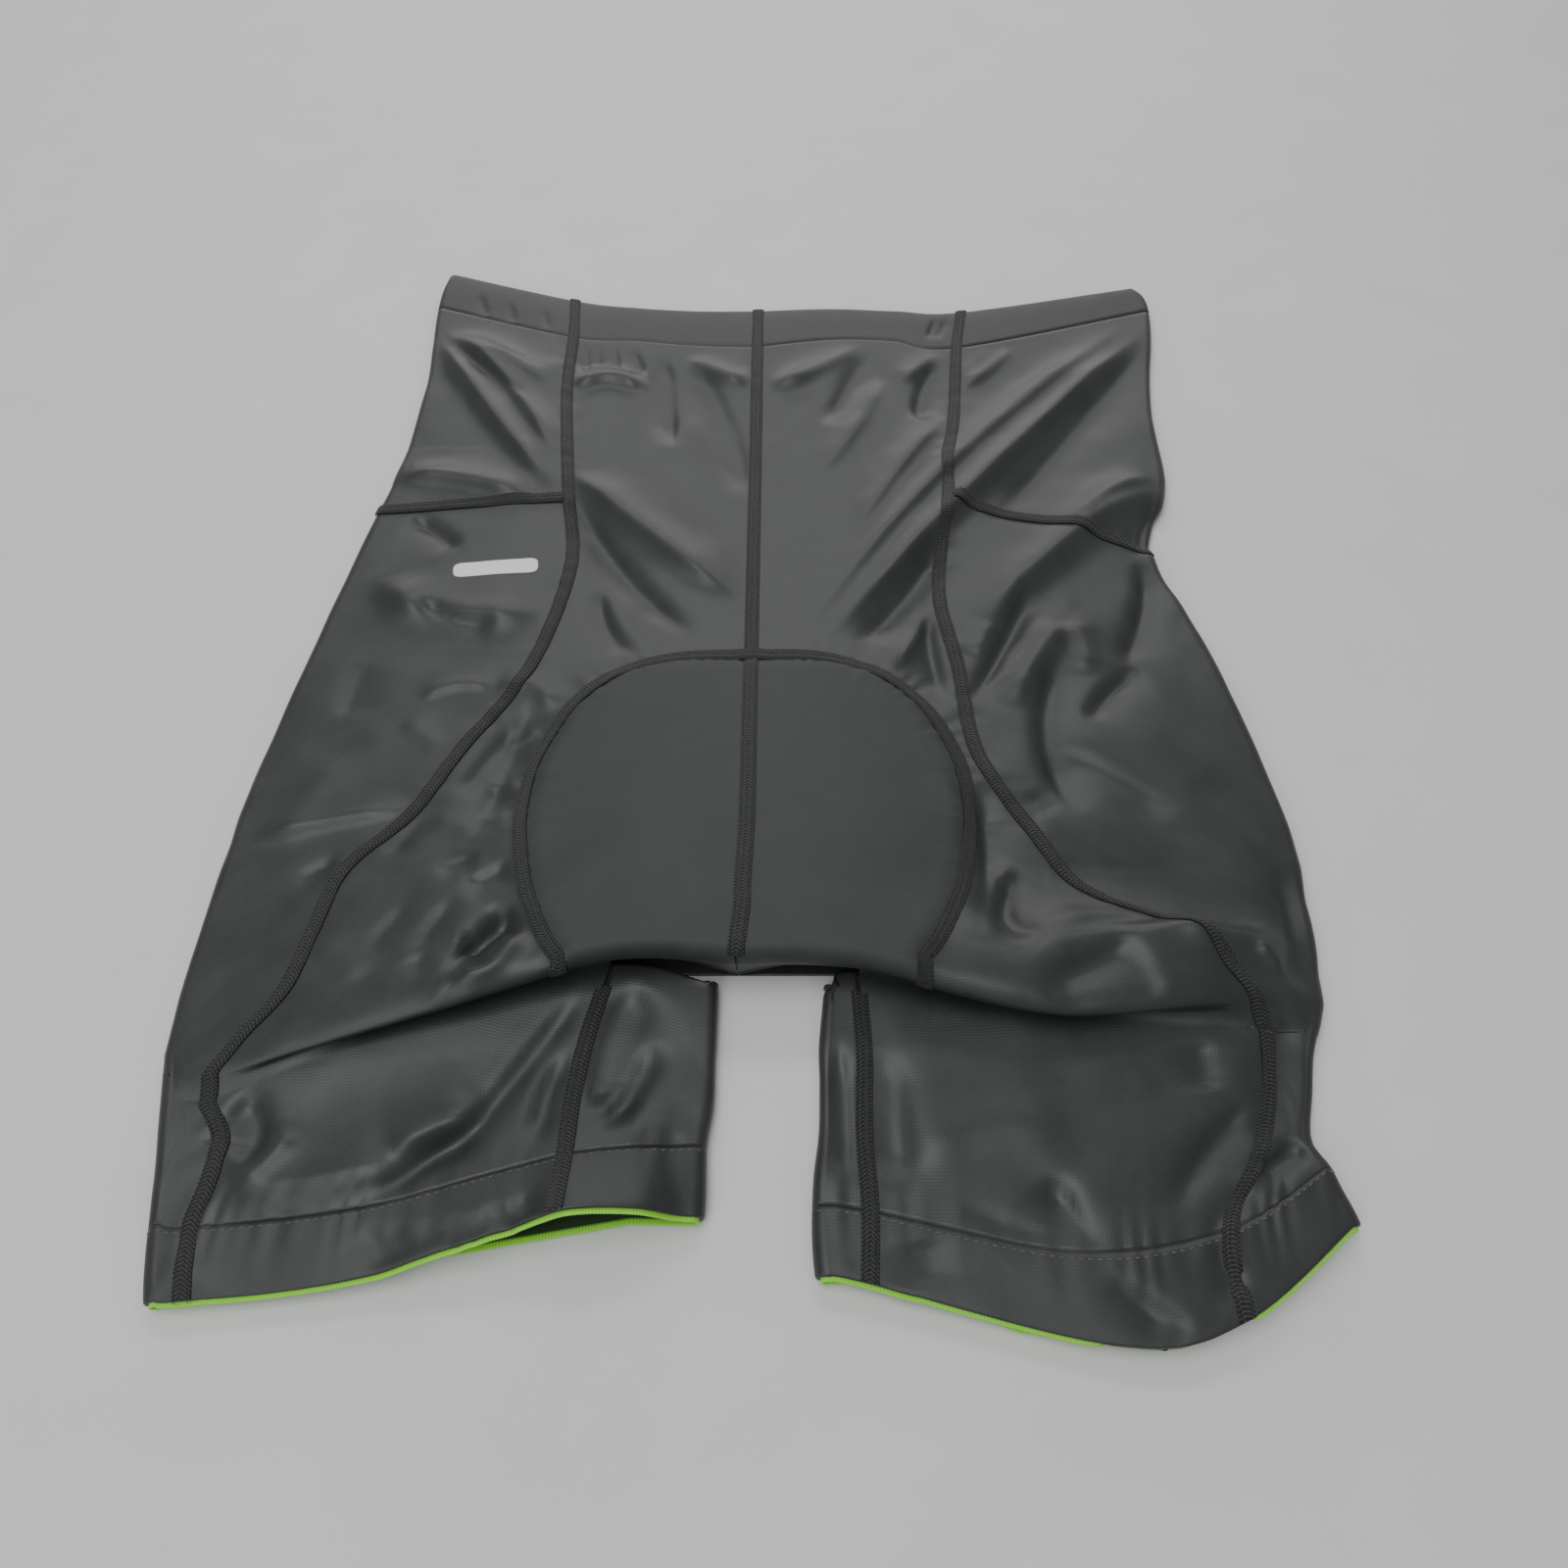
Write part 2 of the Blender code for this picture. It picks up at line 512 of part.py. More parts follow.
def add_panels(side, half, collection):
    """The panels of one half."""
    row = half.row
    seat = slice(row["band line"], row["turn"] + 1)
    body = slice(row["band line"], row["hem line"] + 1)
    back_columns = slice(half.first, half.col(SIDE) + 1)
    used = np.ones((body.stop - body.start, back_columns.stop - back_columns.start), bool)
    used[seat.stop - 1 - body.start:, :half.column[INNER]] = False
    seam = half.column[INNER]
    legs = seat.stop - body.start
    walls = []
    for depth in (0.0, CLOTH):
        grid = half.points[body, back_columns] - half.normals[body, back_columns] * depth
        grid = pull_in(grid, 0, True, True)
        wall = pull_in(grid, 1, True, True)
        wall[legs:, seam] = pull_in(grid[legs:, seam:], 1, True, False)[:, 0]
        walls.append(wall)
    add_wall("back_" + side, walls[0], walls[1], BLACK, collection, used)
    to_yoke = slice(row["band line"], row["yoke"] + 1)
    below_yoke = slice(row["yoke"], row["hem line"] + 1)
    side_columns = slice(half.col(SIDE), half.points.shape[1])
    add_panel("hip_" + side, half, to_yoke, side_columns, collection)
    add_panel("side_" + side, half, below_yoke, side_columns, collection)
    leg = slice(row["out"], row["hem line"] + 1)
    add_panel("inner_" + side, half, leg, slice(0, half.col(INNER) + 1), collection)


def add_front(side, half, collection):
    """The front panel, flat on the floor between the wrapped side and inner-leg panels."""
    row = half.row
    rows = slice(row["band line"], row["hem line"] + 1)
    outer = half.lower[rows]
    crotch = row["brow"] - rows.start
    used = np.ones(outer.shape[:2], bool)
    used[crotch:, 0] = False
    flat = pull_in(pull_in(outer, 0, True, True), 1, True, True)
    meets_leg = row["out"] - rows.start
    run = outer[meets_leg:, 2] - outer[meets_leg:, 1]
    flat[meets_leg:, 1] += run / np.linalg.norm(run, axis=1)[:, None] * (SEAM_GAP / 2.0)
    add_wall("front_" + side, flat, flat + (0.0, 0.0, CLOTH), BLACK, collection, used)


def ring_wall(name, outer, normals, finish, collection, depths, trims):
    """A tube round a flattened opening, between two depths under a cyclic grid of points."""
    face, inner = (pull_in(outer - normals * depth, 0, *trims) for depth in depths)
    return add_wall(name, face, inner, finish, collection, cyclic=True)


def down_facing(grid):
    """Directions for points that lie on the floor."""
    return np.zeros_like(grid) + (0.0, 0.0, -1.0)


def add_waistband(left, right, collection):
    """The turned casing, a flattened ring."""
    rows = slice(left.row["waist"], left.row["band line"] + 1)
    under = np.concatenate([left.lower[rows, -2:0:-1], right.lower[rows, :-1]], axis=1)
    ring = [left.points[rows, left.first:], under, right.points[rows, :right.first:-1]]
    facing = [left.normals[rows, left.first:], down_facing(under), right.normals[rows, :right.first:-1]]
    ring_wall("waistband", np.concatenate(ring, axis=1), np.concatenate(facing, axis=1), BAND_BLACK,
              collection, (0.0, CASING), (False, True))


def add_hem(side, half, collection):
    """The doubled leg end, and the gripper tape inside it."""
    rows = slice(half.row["hem line"], half.row["hem"] + 1)
    under = half.lower[rows, -2:1:-1]
    ring = np.concatenate([half.points[rows], under], axis=1)
    facing = np.concatenate([half.normals[rows], down_facing(under)], axis=1)
    ring_wall("hem_" + side, ring, facing, BAND_BLACK, collection, (0.0, CLOTH), (True, False))
    run = ring[-1] - ring[-2]
    beyond = ring[-1] + run / np.linalg.norm(run, axis=1)[:, None] * GRIPPER_SHOWS
    start = ring[0] + (ring[1] - ring[0]) * GRIPPER_START
    tape = np.stack([start] + list(ring[1:]) + [beyond])
    tape_facing = np.concatenate([facing, facing[-1:]])
    depth = CLOTH + SEAM_GAP
    ring_wall("gripper_" + side, tape, tape_facing, LIME, collection, (depth, depth + GRIPPER_THICK),
              (False, False))


def add_seam_bands(side, half, collection):
    """Flat seams along the side-back, yoke and inner-leg lines of one half."""
    row = half.row
    for name, seam, first_row in (("seam_side_", SIDE, "waist"), ("seam_inner_", INNER, "leg start")):
        rows = slice(row[first_row], row["hem"] + 1)
        column = half.col(seam)
        outer, inner = strip_on(half.points[rows, column], half.points[rows, column - 1],
                                half.points[rows, column + 1], half.normals[rows, column])
        add_wall(name + side, outer, inner, SEAM_BLACK, collection)
    yoke = row["yoke"]
    start = half.col(SIDE)
    columns = slice(start, half.col(EDGE))
    lines = half.points[yoke - 1:yoke + 2, columns].copy()
    run = lines[:, 1] - lines[:, 0]
    run /= np.linalg.norm(run, axis=1)[:, None]
    lines[:, 0] += run * (BAND_WIDTH / 2.0 + YOKE_START)
    outer, inner = strip_on(lines[1], lines[0], lines[2], half.normals[yoke, columns], YOKE_LIFT)
    add_wall("seam_yoke_" + side, outer, inner, SEAM_BLACK, collection)


def add_centre_seam(left, right, collection):
    """The centre-back seam, from the waist to the seat lip."""
    rows = slice(left.row["waist"], left.row["upper"] + 1)
    line = left.points[rows, left.first]
    outer, inner = strip_on(line, left.points[rows, left.first + 1], right.points[rows, right.first + 1],
                            left.normals[rows, left.first])
    add_wall("seam_centre_back", outer, inner, SEAM_BLACK, collection)


def surface_tree(half_pair, depth):
    """Search tree over the seat cloth at a depth below its outer face, and some way past the side."""
    points = []
    faces = []
    for half in half_pair:
        rows = half.row["upper"] + 1
        grid = (half.points - half.normals * depth)[:rows, half.first:half.col(EDGE)]
        start = len(points)
        columns = grid.shape[1]
        points += grid.reshape(-1, 3).tolist()
        for row in range(rows - 1):
            for column in range(columns - 1):
                corner = start + row * columns + column
                faces.append((corner, corner + 1, corner + columns + 1))
                faces.append((corner, corner + columns + 1, corner + columns))
    return BVHTree.FromPolygons(points, faces)


def height_at(tree, x, y):
    """Height of the cloth over a plan point."""
    return tree.ray_cast(Vector((x, y, ABOVE_ALL)), Vector((0.0, 0.0, -1.0)))[0].z


def add_horseshoe(tree, collection):
    """The double-stitched seam that holds the pad, riding over the centre-back seam."""
    line = horseshoe_line(np.linspace(0.0, 1.0, HORSESHOE_STATIONS))
    run = np.gradient(line, axis=0)
    run /= np.linalg.norm(run, axis=1)[:, None]
    across = np.column_stack([-run[:, 1], run[:, 0]])
    outer = []
    inner = []
    for place, side in zip(line, across):
        away = abs(place[0] - CROSSING_X)
        ride = CROSSING_LIFT * np.clip((CROSSING_REACH - away) / CROSSING_RISE, 0.0, 1.0)
        low = []
        for offset in (-BAND_WIDTH / 2.0, 0.0, BAND_WIDTH / 2.0):
            x, y = place + side * offset
            low.append((x, y, height_at(tree, x, y) + HORSESHOE_LIFT + ride))
        inner.append(low)
        outer.append([(x, y, z + BAND_THICK) for x, y, z in low])
    add_wall("seam_pad", np.array(outer), np.array(inner), SEAM_BLACK, collection)


def add_seat_pad(tree, collection):
    """The stitched-in pad, folded double under the seat: one crowned solid between the layers."""
    around = horseshoe_line(np.linspace(0.0, 1.0, 29), PAD_INSET)
    around = around[around[:, 1] > PAD_FRONT + 2.0]
    across = np.linspace(around[-1, 0], around[0, 0], 12)[1:-1]
    outline = np.vstack([around, np.column_stack([across, np.full(len(across), PAD_FRONT)])])
    middle = np.array([HORSESHOE_MIDDLE, PAD_MIDDLE])
    points = [(*middle, height_at(tree, *middle) - PAD_CLEARANCE)]
    for share in PAD_SHARES:
        for place in outline:
            x, y = middle + (place - middle) * share
            points.append((x, y, height_at(tree, x, y) - PAD_CLEARANCE - PAD_EDGE_FALL * share**12))
    count = len(outline)
    base = len(points)
    points += [(x, y, CLOTH + SEAM_GAP) for x, y in outline]
    faces = [(0, 1 + (step + 1) % count, 1 + step) for step in range(count)]
    for ring in range(len(PAD_SHARES)):
        upper = 1 + ring * count
        for step in range(count):
            nxt = (step + 1) % count
            lower = upper + count
            faces.append((upper + step, upper + nxt, lower + nxt, lower + step))
    faces.append(tuple(base + step for step in range(count)))
    points = np.array(points)
    if signed_volume(points, faces) < 0:
        faces = [tuple(reversed(face)) for face in faces]
    add_object("seat_pad", points, faces, FOAM, collection)


def share_centre_normals(left, right):
    """Both halves turn their walls the same way where they meet at the centre back."""
    rows = slice(0, left.row["turn"] + 1)
    both = left.normals[rows, left.first] + right.normals[rows, right.first]
    both[:, 0] = 0.0
    both /= np.linalg.norm(both, axis=1)[:, None]
    left.normals[rows, left.first] = both
    right.normals[rows, right.first] = both


def build():
    """Make every piece of the garment."""
    remove_scene_objects()
    collection = bpy.data.collections.new("cycling_shorts")
    bpy.context.scene.collection.children.link(collection)
    left = Half(LEFT_SECTIONS, mirror=False)
    right = Half(RIGHT_SECTIONS, mirror=True)
    share_centre_normals(left, right)
    add_waistband(left, right, collection)
    for side, half in (("left", left), ("right", right)):
        add_panels(side, half, collection)
        add_front(side, half, collection)
        add_hem(side, half, collection)
        add_seam_bands(side, half, collection)
    add_centre_seam(left, right, collection)
    add_horseshoe(surface_tree((left, right), 0.0), collection)
    add_seat_pad(surface_tree((left, right), CLOTH), collection)


build()
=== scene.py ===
"""Black padded cycling shorts laid flat, back side up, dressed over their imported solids.

The tables are in millimetres, in the garment's own frame, and the meshes are in metres.
"""
import math

import bmesh
import bpy
import numpy as np
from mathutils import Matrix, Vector
from mathutils.bvhtree import BVHTree


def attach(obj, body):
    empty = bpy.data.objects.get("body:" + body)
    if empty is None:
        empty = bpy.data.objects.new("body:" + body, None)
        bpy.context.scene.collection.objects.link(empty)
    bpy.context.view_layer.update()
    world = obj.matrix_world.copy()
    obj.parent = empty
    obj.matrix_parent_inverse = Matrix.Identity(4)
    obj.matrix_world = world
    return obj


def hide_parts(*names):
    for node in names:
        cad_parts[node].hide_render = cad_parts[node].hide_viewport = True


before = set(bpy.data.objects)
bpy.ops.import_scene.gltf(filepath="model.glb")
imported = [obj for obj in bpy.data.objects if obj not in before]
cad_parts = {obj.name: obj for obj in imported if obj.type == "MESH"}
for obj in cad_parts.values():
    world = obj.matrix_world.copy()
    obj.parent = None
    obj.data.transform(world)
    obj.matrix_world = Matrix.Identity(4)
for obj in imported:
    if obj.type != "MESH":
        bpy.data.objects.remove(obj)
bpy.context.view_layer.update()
scene = bpy.context.scene

MM = 0.001
SHIFT = np.array([0.376, 1.9, 0.0])   # the same centring as the solids have
KNIT_WALL = 0.9           # the cloth as it shows, thinner than its solid
CASING_WALL = 1.8         # turned double at the waist
CASING_CROWN = 0.5        # how far the waistband's face swells between its edges
HEM_WALL = 1.4            # turned double at the legs
HEM_CROWN = 0.35
SEAM_GAP = 0.3            # between two pieces where they are sewn
LOWEST_FOLD = 4.6         # troughs level out at about this height, clear of the lower layer
CLAMP_SHARPNESS = 1.5     # how abruptly they do so
WRAP = 20.0               # how far a rolled edge reaches on under the garment
OVERHANG = 9.0            # how far the cloth tucks back under the seat lip
HANGS_AT = (1.0, 1.0, 1.0, 0.0, 0.0)   # share of it at each of the five lines
FREE_REACH = 4.0          # a lip that tucks back this much doesn't lean towards the leg
CROTCH_HEIGHT = 2.4       # of the hidden end of the seat, between the legs
CROTCH_FORWARD = 1.0      # how far behind the lip that end lies, at the height of the lip's front
CROTCH_BACK = 4.0         # and at its own height
CROTCH_DROP = {"under": 0.55, "tuck": 0.3, "turn": 0.0}   # share of the way up to the lip's front
EDGE_EASING = 6           # times that the directions out of an edge are evened out
LOWER_SHARES = (0.3, 0.65)   # lines of the lower layer between its centre and its side
FOLLOW_ROWS = 6.0         # rows above the left hem where the lower layer stops following the sections
FADE_AT_WAIST = (1.0, 0.6)   # where folds begin, in sections from the waist, and their run-in
FADE_AT_HEM = (2.0, 0.8)     # where the legs' folds end, in sections from one past the hem, and run-out
ROWS_EACH = 7             # fine rows for each row of the solids
LIP_ROWS_EACH = 4         # the same over the seat lip
COLUMNS_BETWEEN = (20, 24, 34, 54)   # fine columns between the five lines
UNDER_COLUMNS = (4, 10, 12, 12)      # the same in the lower layer
CURVE_READS = 21          # places at which a section is read for the lower layer
ROLL_STEPS = 12           # round a rolled edge
WRAP_STEPS = 6            # and on under it
TURN_STEPS = 9            # round the fold of a turned band
CENTRE, INNER, MIDDLE, SIDE, EDGE = range(5)   # the five lines, in the order of the tables below

BAND_WIDTH = 5.5          # cover-stitched flat seam
BAND_WALL = 0.5
BAND_COLUMNS = 23
BAND_CROWN = 0.44         # its height over the cloth
NEEDLE_ROW = 2.05         # the two needle rows lie this far from the seam's middle
NEEDLE_GROOVE = 0.34      # how deep each of them pulls the band in
NEEDLE_GROOVE_WIDTH = 0.32
MIDDLE_GROOVE = 0.2       # where the two cloth edges meet
MIDDLE_GROOVE_WIDTH = 0.45
BAND_EDGE_DROP = 0.4      # how far the band's own edges turn down
BAND_EDGE_POWER = 8       # the higher, the closer to the edge they do
STITCH_PITCH = 2.5        # about ten stitches to the inch
STITCH_LENGTH = 1.9
STITCH_HEIGHT = 0.3       # over the cloth beside a flat seam
THREAD_RADIUS = 0.22      # about twice as thick as real thread, so that the stitches show
STITCH_WIDTH = 2.6 * THREAD_RADIUS
CASING_STITCH_PITCH = 3.0   # on the waistband and the hems
CASING_STITCH_HEIGHT = 0.12
CASING_STITCH_ROW = 0.12  # its place, as a share of the waistband's height from the sewn edge
HEM_STITCH_ROW = 0.1
UNDERSIDE = 0.6           # points of a band below this height have no stitches
SEAM_STEP = 1.25          # half a stitch, where the looper's zigzag turns
LOOPER_REACH = 1.45       # how far the zigzag reaches from the seam's middle
LOOPER_RADIUS = 0.17
LOOPER_HEIGHT = 0.66      # over the cloth
LOOPER_PITCH = 1.4        # of the slanting threads that colour a band
YOKE_LIFT = 0.15          # the yoke seam rides a little higher than the seam that it runs into
YOKE_CLEAR = 0.6          # and stops this far from that seam's band
YOKE_WRAP = 5             # columns that it goes on round the side edge
TAPE_WALL = 0.7
TAPE_GAP = 0.15           # between a hem and the tape inside it
TAPE_SHOWS = 1.3          # how far the tape stands out of a hem
TAPE_HIDES = 1.0          # and how far inside it ends where the hem curls
TAPE_START = 0.1          # share of the hem's height where the tape begins
TAPE_EDGE_ROWS = 3        # rows beside the tape's free edge that have no net
CURL_FROM = 104.0         # along the right hem
CURL_TO = 156.0
CURL_RUN = 5.0
NET_SWING = 1.1           # of the silicone zigzag inside the tape
NET_PITCH = 2.2
NET_LINE = 1.0
RIB_PITCH = 1.0           # of the tape
COURSE = 1.1              # rows and columns of knit, coarser than real so that they show
WALE = 1.3
SLUB = 0.5                # how much the fine grain counts beside the blotches
BLOTCHES_PER_METRE = 38.0   # unevenness in dye and sheen, about 26 mm wide
GRAINS_PER_METRE = 900.0  # about 1 mm

# A row for each section across one half. Its columns are the section, the rows to the next one, and
# (x, y, height) at the centre line or inner edge, the inner-leg seam, the middle of the back panel,
# the side-back seam and the outer edge.
LEFT_SECTIONS = (
    ("waist", 2, (-5, 239, 7), (-38, 239, 7), (-72, 242, 7), (-105, 248, 7), (-178, 272, 7)),
    ("band line", 4, (-5, 208, 7), (-37, 209, 7), (-70, 213, 7), (-103, 216, 7), (-180, 241, 7)),
    ("hip", 4, (-5, 157, 7), (-35, 160, 8), (-68, 165, 8), (-102, 173, 8), (-176, 180, 7)),
    ("low hip", 3, (-5, 117, 8), (-34, 120, 9), (-65, 124, 9), (-97, 127, 9), (-178, 120, 8)),
    ("yoke", 4, (-5, 83, 8), (-33, 86, 9), (-62, 90, 9), (-93, 93, 9), (-183, 86, 8)),
    ("seat top", 4, (-5, 41, 9), (-32, 41, 10), (-58, 43, 10), (-88, 48, 9), (-189, 50, 8)),
    ("pad top", 4, (-5, -5, 12), (-33, -6, 13), (-64, -8, 12), (-99, -10, 10), (-197, -3, 8)),
    ("pad upper", 3, (-5, -57, 18), (-37, -59, 18), (-77, -57, 14), (-121, -50, 10), (-203, -46, 8)),
    ("pad wide", 2, (-5, -93, 22), (-42, -95, 22), (-86, -94, 16), (-137, -83, 10), (-206, -81, 8)),
    ("pad lower", 1, (-6, -122, 25), (-45, -123, 25), (-93, -120, 18), (-158, -108, 10), (-208, -112, 8)),
    ("roll foot", 1, (-6, -132, 26), (-47, -132, 26), (-97, -134, 19), (-164, -134, 11), (-209, -135, 8)),
    ("above lip", 1, (-7, -142, 26), (-49, -141, 26), (-102, -147, 20), (-169, -157, 11), (-209, -155, 8)),
    ("lip", 1, (-8, -152, 26), (-54, -151, 26), (-116, -169, 20), (-188, -188, 11), (-208, -180, 8)),
    ("leg start", 2, (-15, -156, 7), (-56, -155, 7), (-119, -174, 8), (-187, -198, 8), (-206, -190, 8)),
    ("leg upper", 2, (-15, -179, 7), (-61, -177, 7), (-125, -195, 8), (-180, -209, 8), (-203, -205, 8)),
    ("leg lower", 2, (-15, -197, 8), (-63, -197, 9), (-125, -215, 9), (-180, -224, 8), (-200, -220, 8)),
    ("hem line", 2, (-17, -212, 8), (-63, -216, 12), (-128, -232, 9), (-182, -238, 8), (-197, -238, 8)),
    ("hem", 0, (-17, -235, 9), (-63, -236, 18), (-127, -254, 9), (-179, -260, 8), (-192, -261, 8)),
)
RIGHT_SECTIONS = (
    ("waist", 2, (-5, 239, 7), (34, 241, 7), (70, 239, 7), (105, 238, 7), (203, 260, 7)),
    ("band line", 4, (-5, 208, 7), (33, 214, 7), (66, 213, 7), (100, 207, 7), (208, 238, 7)),
    ("hip", 4, (-5, 157, 7), (30, 158, 8), (62, 156, 8), (94, 151, 8), (196, 157, 8)),
    ("low hip", 3, (-5, 117, 8), (27, 118, 9), (58, 119, 9), (88, 118, 10), (193, 105, 9)),
    ("yoke", 4, (-5, 83, 8), (24, 86, 9), (56, 89, 9), (86, 90, 10), (180, 60, 9)),
    ("seat top", 4, (-5, 41, 9), (22, 39, 10), (51, 36, 10), (78, 33, 11), (187, 28, 9)),
    ("pad top", 4, (-5, -5, 12), (24, -6, 13), (53, -8, 12), (83, -11, 11), (195, -4, 9)),
    ("pad upper", 3, (-5, -57, 18), (27, -59, 18), (62, -57, 14), (87, -55, 12), (203, -51, 9)),
    ("pad wide", 2, (-5, -93, 22), (30, -95, 22), (72, -92, 16), (104, -90, 12), (208, -85, 9)),
    ("pad lower", 1, (-6, -122, 25), (32, -123, 25), (78, -114, 17), (120, -116, 11), (208, -112, 9)),
    ("roll foot", 1, (-6, -132, 26), (33, -133, 26), (84, -130, 19), (146, -131, 12), (208, -128, 10)),
    ("above lip", 1, (-7, -142, 26), (34, -143, 26), (88, -145, 24), (160, -138, 20), (207, -141, 10)),
    ("lip", 1, (-8, -152, 26), (36, -154, 26), (104, -170, 24), (176, -162, 17), (203, -162, 9)),
    ("leg start", 2, (23, -157, 7), (36, -157, 7), (106, -174, 8), (179, -173, 9), (198, -175, 8)),
    ("leg upper", 2, (21, -179, 7), (37, -181, 7), (105, -194, 8), (176, -193, 9), (193, -192, 8)),
    ("leg lower", 2, (20, -205, 8), (36, -207, 8), (104, -219, 9), (168, -213, 9), (188, -209, 8)),
    ("hem line", 2, (18, -231, 8), (37, -233, 8), (103, -246, 9), (152, -239, 9), (191, -219, 8)),
    ("hem", 0, (19, -253, 8), (36, -255, 8), (113, -273, 8), (152, -266, 9), (196, -237, 8)),
)

# How the cloth rolls over the seat lip. The columns are the place, the share of the way back to the
# section above, the share of the overhang, the share of the way to the leg, and of the lip's height.
LIP_PROFILE = (
    ("brow", 0.45, 0.0, 0.0, 1.0),
    ("upper", 0.12, 0.0, 0.0, 0.88),
    ("front", 0.0, 0.0, 0.0, 0.66),
    ("under", 0.0, 0.35, 0.2, 0.42),
    ("tuck", 0.0, 0.9, 0.4, 0.24),
    ("turn", 0.0, 1.0, 0.6, 0.1),
    ("out", 0.0, 0.6, 0.8, 0.0),
)

CREST_WIDTH = 7.0         # a fold of this half width
CREST_RADIUS = 1.1        # has a crest of this radius
CREST_SHAPE = 1.35        # 2 would be a round swell, and 1 a sharp ridge
BROAD_SIDE = 1.6          # how much further a ridge reaches on its side towards the waist
STEEP_SIDE = 0.7          # and how much less towards the hems
FOLD_POINTS = 13          # along the line of a fold
FOLD_MARGIN = 3.5         # how many half widths from its line a fold is worked out
FOLD_RUN_IN = 3.2         # how fast a fold grows from its ends
FOLD_START = 0.12         # share of its height that it has there, before that is eased

